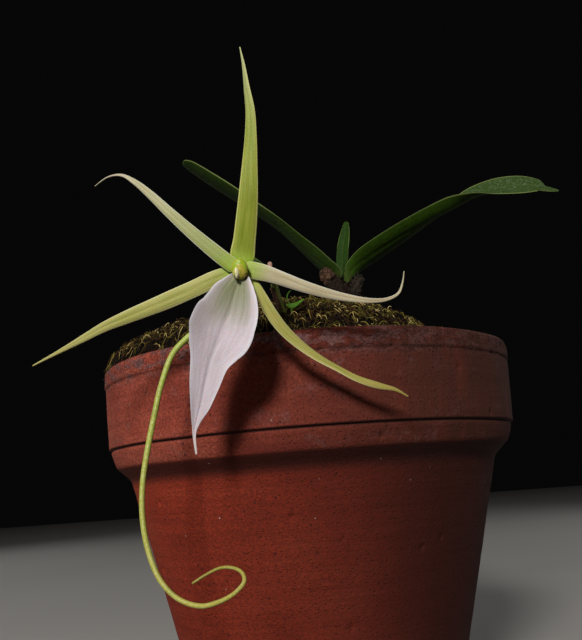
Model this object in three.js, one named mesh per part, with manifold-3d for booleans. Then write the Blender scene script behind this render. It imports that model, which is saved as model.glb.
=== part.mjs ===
// A potted orchid, Angraecum humbertii, in flower: a clay pot with its growing medium and moss, the short leafy
// stem, and one flower with a long spur on its stalk. Millimetres, +Z up. The origin is the middle of the pot's
// flat bottom, and the flower looks towards -Y.

import * as THREE from 'three';
import { mergeVertices } from 'three/addons/utils/BufferGeometryUtils.js';
import Module from 'manifold-3d';

const wasm = await Module();
wasm.setup();

// Clear space between pieces that rest on or against each other
const GAP = 0.3;

// Pot
const POT_HEIGHT = 138;
const POT_SIDES = 60;
const RIM_RADIUS = 77.2;
const GROOVE_RADIUS = 76;
const GROOVE_DEPTH = 28.7; // below the rim's top
const BAND_FOOT_RADIUS = 73.6;
const BAND_HEIGHT = 34.8;
const SHELF_DEPTH = 39.5; // where the band's sloping underside meets the body
const SHELF_RADIUS = 68.3;
const BASE_RADIUS = 42;
const FLOOR_THICKNESS = 9;
const FLOOR_RADIUS = 34.5; // inside, at the floor
const MOUTH_RADIUS = 68.5; // inside, at the rim
const DRAIN_HOLES = 3;
const DRAIN_RADIUS = 4;
const DRAIN_CIRCLE_RADIUS = 22;

// Growing medium and moss
const MEDIUM_TOP = 130;
const MOSS_HEIGHT = 22; // above the rim, at the pot's middle
const MOSS_EDGE_HEIGHT = 1.4;
const MOSS_RADIUS = 66.8;
const MOSS_SPILL = 10; // how much further out the moss lies at the left, on top of the rim
const MOSS_RIGHT_FALL = 0.2; // how much sooner the mound comes down to the rim at the right
const MOSS_BELLY = 1.55; // how long the mound stays high on its way out: 1 is a cone, 2 a round dome
const MOSS_FULLNESS = 0.57; // the smaller, the steeper the mound ends at its edge
const MOSS_SPOKES = 60;
const MOSS_RINGS = 15;

// Flower: the middle of its face, and how far it looks down
const FLOWER_AT = [-15.5, -98, 151.4];
const NOD = THREE.MathUtils.degToRad(10);
const TEPAL_THICKNESS = 0.75;
const SEPAL_PLANE = -2; // the three sepals leave the flower's middle in this plane
const HUB_FACE = SEPAL_PLANE - TEPAL_THICKNESS / 2 - 2 * GAP; // clear of the sepals' backward margins
const HUB_RADIUS = 2.9;

// Leaves
const LEAF_THICKNESS = 0.9;
const LEAF_WIDTH = 12;

const TOWARDS_VIEWER = new THREE.Vector3(0, -1, 0);
const FLOWER_FRONT = new THREE.Vector3(0, 0, 1);

/** The same surface as one closed body: corners merged, empty triangles dropped, faces pointing outwards. */
function closedBody(geometry) {
    const bare = new THREE.BufferGeometry();
    bare.setAttribute('position', geometry.getAttribute('position'));
    bare.setIndex(geometry.getIndex());
    const merged = mergeVertices(bare, 1e-3);
    const old = merged.getIndex().array;
    const kept = [];
    for (let i = 0; i < old.length; i += 3) {
        const [a, b, c] = [old[i], old[i + 1], old[i + 2]];
        if (a !== b && b !== c && c !== a) kept.push(a, b, c);
    }
    if (signedVolume(merged, kept) < 0) kept.reverse();
    merged.setIndex(kept);
    return merged;
}

function signedVolume(geometry, index) {
    const position = geometry.getAttribute('position');
    const [a, b, c] = [new THREE.Vector3(), new THREE.Vector3(), new THREE.Vector3()];
    let volume = 0;
    for (let i = 0; i < index.length; i += 3) {
        a.fromBufferAttribute(position, index[i]);
        b.fromBufferAttribute(position, index[i + 1]);
        c.fromBufferAttribute(position, index[i + 2]);
        volume += a.dot(b.cross(c)) / 6;
    }
    return volume;
}

function toManifold(geometry) {
    const body = closedBody(geometry);
    return new wasm.Manifold(new wasm.Mesh({
        numProp: 3,
        vertProperties: Float32Array.from(body.getAttribute('position').array),
        triVerts: Uint32Array.from(body.getIndex().array),
    }));
}

function fromManifold(solid) {
    const { vertProperties, triVerts } = solid.getMesh();
    const geometry = new THREE.BufferGeometry();
    geometry.setAttribute('position', new THREE.BufferAttribute(vertProperties, 3));
    geometry.setIndex(new THREE.BufferAttribute(triVerts, 1));
    return geometry;
}

/** The first geometry without the others. */
function cut(geometry, cutters) {
    return fromManifold(cutters.reduce((solid, cutter) => solid.subtract(toManifold(cutter)), toManifold(geometry)));
}

/** All the geometries as one body. */
function fuse(geometries) {
    return fromManifold(geometries.map(toManifold).reduce((solid, other) => solid.add(other)));
}

/** A solid of revolution about Z. profile holds [radius, height] from the axis and back to it. */
function turned(profile, sides) {
    const points = profile.map(([radius, height]) => new THREE.Vector2(radius, height));
    return new THREE.LatheGeometry(points, sides).rotateX(Math.PI / 2);
}

/** A smooth line through the first three values of each station, which are its place. */
function middleLine(stations) {
    return new THREE.CatmullRomCurve3(stations.map(([x, y, z]) => new THREE.Vector3(x, y, z)));
}

/** A smooth run of the other values of each station, read at the same place along the line. */
function runOf(stations, first, second = () => 0) {
    const points = stations.map((station) => new THREE.Vector3(first(station), second(station), 0));
    return new THREE.CatmullRomCurve3(points, false, 'catmullrom', 0.5);
}

/**
 * A closed blade, such as a petal or a leaf. Each station is [x, y, z, width, roll in degrees] on its middle
 * line. face is where its front looks at no roll. cup lifts the margins towards the front, by cup times half the
 * width. Both faces are split into the same triangles.
 */
function blade(stations, { face, thickness, cup = 0, steps = 3, cells = 4 }) {
    const line = middleLine(stations);
    const form = runOf(stations, (station) => station[3], (station) => THREE.MathUtils.degToRad(station[4] ?? 0));
    const rows = (stations.length - 1) * steps;
    const front = [];
    const back = [];
    for (let row = 0; row <= rows; row++) {
        const middle = line.getPoint(row / rows);
        const along = line.getTangent(row / rows);
        const { x: width, y: roll } = form.getPoint(row / rows);
        const across = new THREE.Vector3().crossVectors(along, face).normalize().applyAxisAngle(along, -roll);
        const out = new THREE.Vector3().crossVectors(across, along).normalize();
        for (let cell = 0; cell <= cells; cell++) {
            const side = 2 * cell / cells - 1;
            const lift = cup * side * side * width / 2;
            const half = thickness * (1 - 0.2 * side * side) / 2;
            const point = middle.clone().addScaledVector(across, side * width / 2);
            front.push(point.clone().addScaledVector(out, lift + half));
            back.push(point.clone().addScaledVector(out, lift - half));
        }
    }
    return sheetBody(front, back, rows, cells);
}

/** A closed body from two alike grids of points and the walls round them. */
function sheetBody(front, back, rows, columns) {
    const at = (row, column) => row * (columns + 1) + column;
    const under = front.length;
    const index = [];
    for (let row = 0; row < rows; row++) {
        for (let column = 0; column < columns; column++) {
            const [a, b] = [at(row, column), at(row, column + 1)];
            const [c, d] = [at(row + 1, column), at(row + 1, column + 1)];
            index.push(a, b, d, a, d, c);
            index.push(under + a, under + d, under + b, under + a, under + c, under + d);
        }
    }
    const rim = [];
    for (let column = 0; column < columns; column++) rim.push(at(0, column));
    for (let row = 0; row < rows; row++) rim.push(at(row, columns));
    for (let column = columns; column > 0; column--) rim.push(at(rows, column));
    for (let row = rows; row > 0; row--) rim.push(at(row, 0));
    rim.forEach((p, i) => {
        const q = rim[(i + 1) % rim.length];
        index.push(q, p, under + p, q, under + p, under + q);
    });
    return new THREE.BufferGeometry().setFromPoints([...front, ...back]).setIndex(index);
}

/**
 * A closed rod, such as a stalk or a spur. Each station is [x, y, z, radius] on its middle line. flat is the
 * section's depth over its width. extra makes it bigger all round, for a hole that the rod stands in.
 */
function rod(stations, { sides = 8, steps = 3, flat = 1, extra = 0 } = {}) {
    const line = middleLine(lengthened(stations, extra));
    const form = runOf(stations, (station) => station[3] + extra);
    const rows = (stations.length - 1) * steps;
    const points = [];
    let across = new THREE.Vector3(1, 0, 0);
    for (let row = 0; row <= rows; row++) {
        const middle = line.getPoint(row / rows);
        const along = line.getTangent(row / rows);
        const radius = form.getPoint(row / rows).x;
        across = across.clone().addScaledVector(along, -across.dot(along)).normalize();
        const deep = new THREE.Vector3().crossVectors(along, across);
        for (let side = 0; side < sides; side++) {
            const turn = 2 * Math.PI * side / sides;
            points.push(middle.clone()
                .addScaledVector(across, radius * Math.cos(turn))
                .addScaledVector(deep, (flat * (radius - extra) + extra) * Math.sin(turn)));
        }
    }
    const index = [];
    for (let row = 0; row < rows; row++) {
        for (let side = 0; side < sides; side++) {
            const [a, b] = [row * sides + side, row * sides + (side + 1) % sides];
            index.push(a, b, b + sides, a, b + sides, a + sides);
        }
    }
    const foot = points.push(line.getPoint(0)) - 1;
    const head = points.push(line.getPoint(1)) - 1;
    for (let side = 0; side < sides; side++) {
        const [a, b] = [side, (side + 1) % sides];
        index.push(foot, b, a, head, rows * sides + a, rows * sides + b);
    }
    return new THREE.BufferGeometry().setFromPoints(points).setIndex(index);
}

/** The same stations with both ends moved outwards along the line. */
function lengthened(stations, extra) {
    const moved = stations.map((station) => [...station]);
    const beyond = (end, next) => {
        const outwards = new THREE.Vector3(...end).sub(new THREE.Vector3(...next)).setLength(extra);
        outwards.toArray().forEach((value, axis) => { end[axis] += value; });
    };
    if (extra > 0) {
        beyond(moved[0], stations[1]);
        beyond(moved.at(-1), stations.at(-2));
    }
    return moved;
}

/** One named piece of the plant or the pot. */
function piece(name, geometry, color, roughness) {
    const body = closedBody(geometry);
    body.computeVertexNormals();
    const mesh = new THREE.Mesh(body, new THREE.MeshStandardMaterial({ color, roughness, metalness: 0 }));
    mesh.name = name;
    return mesh;
}

/** The pot's inner radius at a height. */
function innerRadius(height) {
    const share = (height - FLOOR_THICKNESS) / (POT_HEIGHT - FLOOR_THICKNESS);
    return THREE.MathUtils.lerp(FLOOR_RADIUS, MOUTH_RADIUS, share);
}

function potBody() {
    const top = POT_HEIGHT;
    const groove = top - GROOVE_DEPTH;
    const foot = top - BAND_HEIGHT;
    const shelf = top - SHELF_DEPTH;
    const body = turned([
        [0, 0], [BASE_RADIUS - 1.5, 0], [BASE_RADIUS, 1.5], [SHELF_RADIUS, shelf],
        [BAND_FOOT_RADIUS - 0.8, foot - 0.4], [BAND_FOOT_RADIUS, foot + 0.3], [GROOVE_RADIUS - 1.2, foot + 1.8],
        [GROOVE_RADIUS - 0.6, groove - 0.6], [GROOVE_RADIUS - 1, groove - 0.2], [GROOVE_RADIUS, groove + 0.3],
        [RIM_RADIUS - 0.3, top - 6.6], [RIM_RADIUS, top - 6.1], [RIM_RADIUS, top - 1.6],
        [RIM_RADIUS - 0.5, top - 0.4], [RIM_RADIUS - 1.6, top], [MOUTH_RADIUS + 1.2, top],
        [MOUTH_RADIUS, top - 1.2], [FLOOR_RADIUS + 2, FLOOR_THICKNESS + 3], [FLOOR_RADIUS - 1, FLOOR_THICKNESS],
        [0, FLOOR_THICKNESS],
    ], POT_SIDES);
    const holes = [];
    for (let hole = 0; hole < DRAIN_HOLES; hole++) {
        const turn = 2 * Math.PI * (hole + 0.5) / DRAIN_HOLES;
        const [x, y] = [DRAIN_CIRCLE_RADIUS * Math.cos(turn), DRAIN_CIRCLE_RADIUS * Math.sin(turn)];
        const drill = new THREE.CylinderGeometry(DRAIN_RADIUS, DRAIN_RADIUS, 3 * FLOOR_THICKNESS, 16);
        holes.push(drill.rotateX(Math.PI / 2).translate(x, y, 0));
    }
    return cut(body, holes);
}

function growingMedium() {
    const foot = FLOOR_THICKNESS + GAP;
    return turned([
        [0, foot], [FLOOR_RADIUS - 1.5, foot], [FLOOR_RADIUS + 1.5, foot + 3],
        [innerRadius(MEDIUM_TOP) - 1.2, MEDIUM_TOP], [0, MEDIUM_TOP],
    ], POT_SIDES);
}

/** Soft lumps of moss, up to about 1.5 mm high. */
function lump(x, y) {
    const broad = Math.sin(0.3 * x + 1.3 * Math.sin(0.17 * y)) * Math.cos(0.26 * y + 0.8);
    const small = Math.sin(0.63 * x + 2) * Math.sin(0.58 * y + 1);
    return 0.9 * broad + 0.6 * small;
}

/** The moss mound: a long even slope to the left, and a round shoulder with a steep end to the right. */
function mossMound() {
    const rings = [];
    for (let ring = 0; ring <= MOSS_RINGS; ring++) {
        const share = Math.sqrt(ring / MOSS_RINGS);
        for (let spoke = 0; spoke < MOSS_SPOKES; spoke++) {
            const turn = 2 * Math.PI * spoke / MOSS_SPOKES;
            const left = ((1 - Math.cos(turn)) / 2) ** 3;
            const radius = share * (MOSS_RADIUS + MOSS_SPILL * left);
            const [x, y] = [radius * Math.cos(turn), radius * Math.sin(turn)];
            const right = ((1 + Math.cos(turn)) / 2) ** 3;
            const reach = Math.min(1, share * (1 + MOSS_RIGHT_FALL * right));
            const belly = MOSS_BELLY + 0.5 * Math.cos(turn);
            const dome = MOSS_HEIGHT * (1 - reach ** belly) ** (MOSS_FULLNESS + 0.08 * Math.cos(turn));
            rings.push(new THREE.Vector3(x, y, POT_HEIGHT + MOSS_EDGE_HEIGHT + dome + lump(x, y)));
        }
    }
    const foot = rings.map(({ x, y }) => new THREE.Vector3(x, y, MEDIUM_TOP + GAP));
    return domeBody(rings, foot, MOSS_RINGS, MOSS_SPOKES);
}

/** A closed body between an upper and a lower wheel of points. The first ring of each is its middle. */
function domeBody(upper, lower, rings, spokes) {
    const under = upper.length;
    const index = [];
    for (let ring = 0; ring < rings; ring++) {
        for (let spoke = 0; spoke < spokes; spoke++) {
            const next = (spoke + 1) % spokes;
            const [a, b] = [ring * spokes + spoke, ring * spokes + next];
            const [c, d] = [a + spokes, b + spokes];
            index.push(a, c, d, a, d, b);
        }
    }
    for (let spoke = 0; spoke < spokes; spoke++) {
        const next = (spoke + 1) % spokes;
        const [a, b] = [rings * spokes + spoke, rings * spokes + next];
        index.push(a, under + a, under + b, a, under + b, b);
        index.push(under, under + b, under + a);
    }
    return new THREE.BufferGeometry().setFromPoints([...upper, ...lower]).setIndex(index);
}

/** What the pot's wall and rim take away from the moss, with the clear space between them. */
function rimCutter() {
    const clear = POT_HEIGHT + GAP;
    const outside = RIM_RADIUS + MOSS_SPILL;
    return turned([
        [innerRadius(MEDIUM_TOP - 2) - GAP, MEDIUM_TOP - 2], [outside, MEDIUM_TOP - 2], [outside, clear],
        [MOUTH_RADIUS + 1, clear], [MOUTH_RADIUS - GAP, POT_HEIGHT - 1.2],
        [innerRadius(MEDIUM_TOP - 2) - GAP, MEDIUM_TOP - 2],
    ], POT_SIDES);
}

// Stations are written as [x, y, z, radius] for rods and [x, y, z, width, roll] for blades.

const STEM = [
    [18.2, 0, MEDIUM_TOP + GAP, 4.6], [18.2, 0, 145, 4.8], [18.2, 0, 160, 5.2], [18.3, 0, 167, 5.6], [18.4, 0, 171, 5.2],
];
const STEM_FORM = { sides: 12, flat: 0.62, steps: 2 };

const FLOWER_STALK = [
    [16, -5.2, 152, 1.4], [11, -18, 149, 1.4], [4, -36, 146.5, 1.4], [-2.4, -52, 144, 1.3], [-5, -58.6, 145.4, 1.2],
    [-6.2, -60.2, 149, 1.2], [-7.2, -60.6, 153, 1.15], [-7.9, -60.2, 156.5, 1], [-8.4, -59.6, 159.7, 0.85],
    [-8.8, -58.8, 162.3, 0.7], [-8.9, -58, 164.6, 0.65],
];
const STALK_FORM = { sides: 8, steps: 2 };

const SPRIG_FOOT = [[-2.6, -58.6, 142.5, 0.5], [-2.8, -60, 145.6, 0.5], [-2.9, -60.6, 148.6, 0.5]];

function moss() {
    return cut(mossMound(), [
        rimCutter(),
        rod(STEM, { ...STEM_FORM, extra: GAP }),
        rod(FLOWER_STALK, { ...STALK_FORM, extra: GAP }),
        rod(SPRIG_FOOT, { sides: 6, steps: 2, extra: GAP }),
    ]);
}

function leafLeft() {
    return blade([
        [15.6, -0.9, 171.6, 3.6, 46], [15.2, -1.3, 174.6, 7.2, 53], [12.2, 0, 178, 9.4, 66],
        [7.3, 3.6, 183.9, 11.8, 73], [1.2, 7, 191.5, LEAF_WIDTH, 77], [-6.8, 11, 201.4, LEAF_WIDTH, 80],
        [-16, 15, 210.8, LEAF_WIDTH, 80], [-26.4, 18, 220.5, LEAF_WIDTH, 80], [-37, 21, 229.8, 11.8, 80],
        [-44.2, 23, 236.2, 10.2, 78], [-48.9, 24.2, 240, 5.6, 76],
    ], { face: TOWARDS_VIEWER, thickness: LEAF_THICKNESS, cup: -0.3 });
}

function leafRight() {
    return blade([
        [19.3, -4.2, 169.9, 1.6, -10], [20.4, -4.6, 172.8, 3.8, -20], [21.8, -4.4, 175.2, 6.4, -35],
        [24, -4, 177.2, 9, -48], [27.6, -3.7, 179.6, 11.4, -56], [33.9, -4, 183.2, LEAF_WIDTH, -58],
        [43, -6, 187.3, LEAF_WIDTH, -62], [53.7, -8, 192.4, LEAF_WIDTH, -73], [63.4, -10, 197, LEAF_WIDTH, -94],
        [71.4, -12, 199.8, LEAF_WIDTH, -117], [80.4, -13.5, 201, 12.5, -139], [90, -14.5, 201, 11, -149],
        [96.6, -15, 200.4, 7.2, -150], [98.9, -15.1, 199.4, 3.4, -150], [101.4, -15.3, 198.7, 2.4, -150],
        [104.4, -15.5, 197.7, 0.9, -150],
    ], { face: TOWARDS_VIEWER, thickness: LEAF_THICKNESS, cup: -0.3 });
}

function leafCentre() {
    return blade([
        [18.2, 0.6, 171.7, 4, 20], [18.3, 1, 176, 4.7, 20], [18.7, 1.5, 180.4, 5, 20], [19.4, 2, 185.7, 5, 20],
        [20.3, 2.5, 190.1, 4.6, 20], [21.3, 3, 194.6, 3.5, 20], [21.9, 3.5, 198.3, 1.8, 20],
    ], { face: TOWARDS_VIEWER, thickness: 0.8, cup: 0.4, steps: 2 });
}

function sheathLeft() {
    return blade([
        [16.2, -4.6, 163.2, 4.2], [15.6, -5.1, 166.4, 5.4], [14.1, -6, 169.8, 7], [11.8, -7.3, 172.6, 7.8],
        [9.9, -8.4, 174.8, 7],
    ], { face: TOWARDS_VIEWER, thickness: TEPAL_THICKNESS, cup: -0.3, steps: 2 });
}

function sheathRight() {
    return blade([
        [20.9, -4.4, 162.8, 4.2], [21.9, -4.9, 165.4, 5], [23.5, -5.8, 168.9, 5.2], [25.1, -6.8, 172.2, 3.8],
    ], { face: TOWARDS_VIEWER, thickness: TEPAL_THICKNESS, cup: -0.25, steps: 2 });
}

/** The dry bract, a papery strip along the flower stalk's left side. */
function bract() {
    return blade([
        [-7.4, -61.5, 147.9, 2], [-8.2, -61.8, 150.4, 2.6], [-9, -61.9, 152.9, 2.2], [-9.5, -61.7, 155, 1],
    ], { face: new THREE.Vector3(-0.8, -0.6, 0), thickness: 0.62, cup: -0.45, steps: 2 });
}

/** A green shoot: a low curved leaflet, and a thinner one that curls up beside it. */
function sprig() {
    const leaflet = (stations) => blade(stations, { face: TOWARDS_VIEWER, thickness: 0.62, cup: -0.2, steps: 2, cells: 2 });
    return fuse([
        rod(SPRIG_FOOT, { sides: 6, steps: 2 }),
        leaflet([
            [-4.5, -60.8, 149.3, 0.8], [-3.6, -60.9, 148.8, 1.7], [-2.3, -60.9, 148.7, 2.2], [-0.9, -60.7, 149.3, 1.6],
            [0.4, -60.4, 150.1, 1.1], [1.4, -60.2, 150.8, 0.7],
        ]),
        leaflet([[-3.3, -60.8, 149, 0.8], [-4, -61, 151, 0.9], [-3.6, -61, 152.8, 0.9], [-2.5, -60.8, 153.9, 0.7]]),
    ]);
}

// The flower's own frame: X to the right, Y up and Z out of its face. Its pieces below are written in it.
const flower = new THREE.Group();
flower.position.set(...FLOWER_AT);
flower.rotation.x = Math.PI / 2 + NOD;
flower.updateMatrixWorld();

/** The ovary and its stalk, from beside the flower stalk to a hub behind the flower. */
function ovary() {
    const inFlower = (z, radius) => [...new THREE.Vector3(0, 0, z).applyMatrix4(flower.matrixWorld).toArray(), radius];
    return rod([
        [-8.2, -61.5, 156.6, 0.8], [-8.8, -65, 157.6, 0.9], [-10.2, -71, 158.4, 1.1], [-11.6, -77, 158.3, 1.2],
        [-13, -83, 157.4, 1.4], [-14.4, -88.5, 155.2, 1.7], inFlower(HUB_FACE - 2.4, 1.9),
        inFlower(HUB_FACE - 1, 2.2), inFlower(HUB_FACE, HUB_RADIUS),
    ], { sides: 10, steps: 2 });
}

function sepalTop() {
    return blade([
        [0.5, 1.3, SEPAL_PLANE, 5.4], [0.8, 4, SEPAL_PLANE, 6.4], [1.6, 7.6, -1.6, 6.2], [2.8, 13.9, -0.6, 5.8],
        [3.8, 20.3, 0.2, 5.2], [4.7, 27.8, 0, 4.3], [5.4, 35.6, -1.5, 3.5, 10], [5.7, 43.6, -3.5, 2.9, 25],
        [5.1, 51.1, -5.5, 2.3, 45], [4.6, 58.6, -7, 1.6, 45], [4, 64, -8, 0.8, 45],
    ], { face: FLOWER_FRONT, thickness: TEPAL_THICKNESS, cup: -0.15 });
}

function sepalLeft() {
    return blade([
        [-1.8, -0.5, SEPAL_PLANE, 2.4], [-4.2, -1.3, SEPAL_PLANE, 4.2], [-7.4, -2.3, SEPAL_PLANE, 4.7],
        [-13.2, -4.4, -2.4, 4.7], [-20.1, -6.7, -3.4, 4.7], [-26.3, -8.6, -4.5, 4.3], [-33.2, -10.6, -6, 3.7],
        [-39.9, -12.7, -7.5, 2.9], [-46.8, -15.6, -9, 2.1], [-54.2, -18.8, -10, 1.5], [-62.1, -22.1, -11, 0.8],
    ], { face: FLOWER_FRONT, thickness: TEPAL_THICKNESS, cup: -0.15 });
}

function sepalRight() {
    return blade([
        [1.6, -1.6, SEPAL_PLANE, 2], [3.4, -4.6, SEPAL_PLANE, 2.7], [5.2, -8.2, SEPAL_PLANE, 3], [7, -12, -2.2, 3.2],
        [10.3, -17.2, -3, 3.2, 15], [14.6, -21.8, -4, 3.1, 30], [19.3, -25.7, -5, 3, 45], [24.6, -29.2, -6, 2.7, 55],
        [29.9, -32.5, -6.5, 2.3, 45], [35.6, -34.9, -7, 2, 25], [40.2, -36.4, -7.5, 1.4, 10], [43.6, -38.6, -8, 0.8],
    ], { face: FLOWER_FRONT, thickness: TEPAL_THICKNESS, cup: -0.15 });
}

function petalLeft() {
    return blade([
        [-2.1, 1, -0.5, 3.6], [-4.7, 3.3, -0.65, 4.1], [-8.7, 7.1, -1.5, 3.9], [-13.8, 12.2, -2.5, 3.4],
        [-18.9, 17.6, -4, 3.1], [-24.1, 23.3, -6, 2.6], [-28.5, 27.6, -8, 2], [-32.9, 30.7, -10.5, 1.4],
        [-37.6, 31.2, -13, 1.1], [-41.9, 29.5, -15, 0.8],
    ], { face: FLOWER_FRONT, thickness: TEPAL_THICKNESS, cup: -0.15 });
}

function petalRight() {
    return blade([
        [2.2, -0.6, -0.5, 4.8], [5.9, -1.6, -0.6, 4.6], [10.5, -3.4, -1.3, 3.9], [15.8, -5.7, -2.4, 3.4],
        [21.7, -7.9, -4, 2.9], [28.2, -9.8, -6, 2.2], [35.1, -11.1, -8, 1.6], [40.1, -11, -10, 1.2],
        [43.7, -9.4, -11.5, 1], [45.1, -6.6, -12, 0.9], [45.8, -3.2, -11.5, 0.8],
    ], { face: FLOWER_FRONT, thickness: TEPAL_THICKNESS, cup: -0.15 });
}

function lip() {
    return blade([
        [-0.4, -3, 0.5, 4.6], [-0.9, -4.7, 1.2, 8], [-1.7, -6.9, 2, 11.8], [-3.2, -11.5, 3, 15.6],
        [-4.8, -14.7, 3.4, 17], [-6.2, -17.9, 3.4, 16.9], [-7.9, -21.1, 3, 14.8], [-9.4, -24.8, 2.4, 11.8],
        [-11.4, -30.7, 1.5, 8.8], [-13.1, -36, 0.8, 5.6], [-14.6, -40.2, 0.5, 2.8], [-15.4, -43.6, 0.5, 1.3],
        [-15.1, -49, 1.5, 0.8],
    ], { face: FLOWER_FRONT, thickness: TEPAL_THICKNESS, cup: 0.32, steps: 2, cells: 8 });
}

function spur() {
    return rod([
        [-0.6, -4.4, -0.9, 1.5], [-0.9, -5.2, -2.6, 1.35], [-2.5, -7.5, -6, 1.15], [-6.5, -10.5, -9, 1],
        [-12, -14, -10.3, 0.95], [-17.5, -17.9, -9.5, 0.9], [-21.3, -21.8, -8.3, 0.85], [-24.7, -30.3, -5.8, 0.8],
        [-26.8, -38.9, -3.3, 0.8], [-28.6, -47.3, -0.8, 0.8], [-29.9, -55.5, 1.7, 0.75], [-30, -63.7, 4.1, 0.75],
        [-28.6, -71.6, 6.5, 0.75], [-25.4, -78.8, 9.3, 0.7], [-20.7, -83.1, 11.6, 0.65], [-14.9, -84.7, 13.4, 0.65],
        [-10.1, -83.6, 14.7, 0.6], [-6.1, -81.6, 15.4, 0.55], [-3.5, -79.1, 15, 0.55], [-3.8, -77.5, 13.7, 0.5],
        [-5.5, -76.5, 12.5, 0.45], [-9.2, -76.4, 10.9, 0.4], [-13.3, -78.1, 9.7, 0.35], [-17.4, -80.4, 9.1, 0.3],
    ], { sides: 8, steps: 3 });
}

function column() {
    return rod([[0, 0.1, 0.25, 2.2], [-0.1, -0.5, 2.2, 2.3], [-0.1, -1.2, 4, 2.4], [-0.1, -1.6, 5.4, 2]],
        { sides: 14, steps: 2 });
}

function antherCap() {
    return rod([[-0.3, -1.8, 5.8, 1.6], [-0.3, -1.9, 6.4, 1.7], [-0.3, -2, 7, 1.3], [-0.3, -2, 7.4, 0.7]],
        { sides: 12, steps: 2 });
}

flower.add(
    piece('sepal_top', sepalTop(), 0xb9c46a, 0.5),
    piece('sepal_left', sepalLeft(), 0xbfc77a, 0.5),
    piece('sepal_right', sepalRight(), 0xc2c670, 0.5),
    piece('petal_left', petalLeft(), 0xc9cb8e, 0.5),
    piece('petal_right', petalRight(), 0xd2cfa0, 0.5),
    piece('lip', lip(), 0xe9e3ea, 0.55),
    piece('spur', spur(), 0x9db33a, 0.45),
    piece('column', column(), 0xa3bf3a, 0.4),
    piece('anther_cap', antherCap(), 0xe3dc92, 0.4),
);

const plant = new THREE.Group();
plant.add(
    piece('stem', rod(STEM, STEM_FORM), 0x4a3b28, 0.9),
    piece('leaf_left', leafLeft(), 0x2c4a20, 0.5),
    piece('leaf_right', leafRight(), 0x30502a, 0.5),
    piece('leaf_centre', leafCentre(), 0x4f8a3a, 0.5),
    piece('sheath_left', sheathLeft(), 0x8a5a44, 0.9),
    piece('sheath_right', sheathRight(), 0x7d6a56, 0.9),
    piece('flower_stalk', rod(FLOWER_STALK, STALK_FORM), 0x5c5a2c, 0.7),
    piece('bract', bract(), 0x7a5030, 0.9),
    piece('ovary', ovary(), 0x76a832, 0.5),
    piece('sprig', sprig(), 0x6fbf2f, 0.6),
    flower,
);

const potted = new THREE.Group();
potted.add(
    piece('pot', potBody(), 0xa04a35, 0.9),
    piece('growing_medium', growingMedium(), 0x3a2b20, 1),
    piece('moss', moss(), 0x6b5a2c, 1),
    plant,
);

export default potted;
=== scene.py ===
"""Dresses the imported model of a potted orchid: clay pot, moss, short leafy stem and spurred flower.

Lengths are millimetres in the pot's own frame, with +Z up, and become metres where a mesh is made.
Stations of a blade are [x, y, z, width, roll in degrees] and those of a rod are [x, y, z, radius],
on its middle line.
"""

import itertools

import bpy
import numpy as np
from mathutils import Matrix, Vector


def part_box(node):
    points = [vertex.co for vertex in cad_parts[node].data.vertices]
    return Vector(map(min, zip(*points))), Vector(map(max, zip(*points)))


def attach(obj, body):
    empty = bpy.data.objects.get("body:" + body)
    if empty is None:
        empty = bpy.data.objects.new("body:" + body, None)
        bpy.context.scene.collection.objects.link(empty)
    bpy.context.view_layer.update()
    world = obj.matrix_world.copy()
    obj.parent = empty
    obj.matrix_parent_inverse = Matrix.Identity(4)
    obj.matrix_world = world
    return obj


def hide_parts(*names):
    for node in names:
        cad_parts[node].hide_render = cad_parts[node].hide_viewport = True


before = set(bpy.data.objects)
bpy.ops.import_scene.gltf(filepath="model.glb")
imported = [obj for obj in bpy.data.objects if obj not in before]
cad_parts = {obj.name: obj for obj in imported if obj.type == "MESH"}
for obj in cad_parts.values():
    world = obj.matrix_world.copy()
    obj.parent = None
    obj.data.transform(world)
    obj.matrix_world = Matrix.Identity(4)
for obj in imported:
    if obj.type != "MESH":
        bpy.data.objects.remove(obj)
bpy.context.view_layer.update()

MILLIMETRE = 0.001
BODY = "root"

# Pot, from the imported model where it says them
POT_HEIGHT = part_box("pot")[1].z / MILLIMETRE
RIM_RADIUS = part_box("pot")[1].x / MILLIMETRE
MOUTH_RADIUS = RIM_RADIUS - 8.7
GROOVE_RADIUS = RIM_RADIUS - 1.2
GROOVE_HEIGHT = POT_HEIGHT - 28.7
BAND_FOOT = POT_HEIGHT - 34.8
SHELF_HEIGHT = POT_HEIGHT - 39.5
LIP_LINE = POT_HEIGHT - 6.8
BAND_FOOT_RADIUS = 73.6
SHELF_RADIUS = 68.3
BASE_RADIUS = 42
FLOOR_THICKNESS = 9
FLOOR_RADIUS = 34.5
DRAIN_HOLES = 3
DRAIN_RADIUS = 4
DRAIN_CIRCLE_RADIUS = 22

# Moss
MEDIUM_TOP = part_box("growing_medium")[1].z / MILLIMETRE
CLEAR = 0.3
MOSS_HEIGHT = 22
MOSS_EDGE_HEIGHT = 1.4
MOSS_RADIUS = 66.8
MOSS_SPILL = 10
MOSS_RIGHT_FALL = 0.3
MOSS_BELLY = 1.55
MOSS_FULLNESS = 0.57
MAT_DEPTH = 1

# Leaves
LEAF_THICKNESS = 0.9
LEAF_WIDTH = 12
TOWARDS_VIEWER = (0, -1, 0)

# Flower: the middle of its face, and how far it looks down. Its own axes are X to the right, Y up and Z
# out of its face, with the sepals behind the petals and the hub at its back where the ovary ends.
FLOWER_AT = np.array([-15.5, -98, 151.4])
NOD = np.radians(10)
FLOWER_AXES = np.array([[1, 0, 0], [0, -np.sin(NOD), np.cos(NOD)], [0, -np.cos(NOD), -np.sin(NOD)]])
FLOWER_FRONT = (0, 0, 1)
TEPAL_THICKNESS = 0.55
SEPAL_PLANE = -2
HUB_FACE = -2.975
HUB_RADIUS = 2.9


# Curves, noise and skins


def unit(vectors):
    """The same directions at length 1."""
    return vectors / np.linalg.norm(vectors, axis=-1, keepdims=True)


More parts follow.
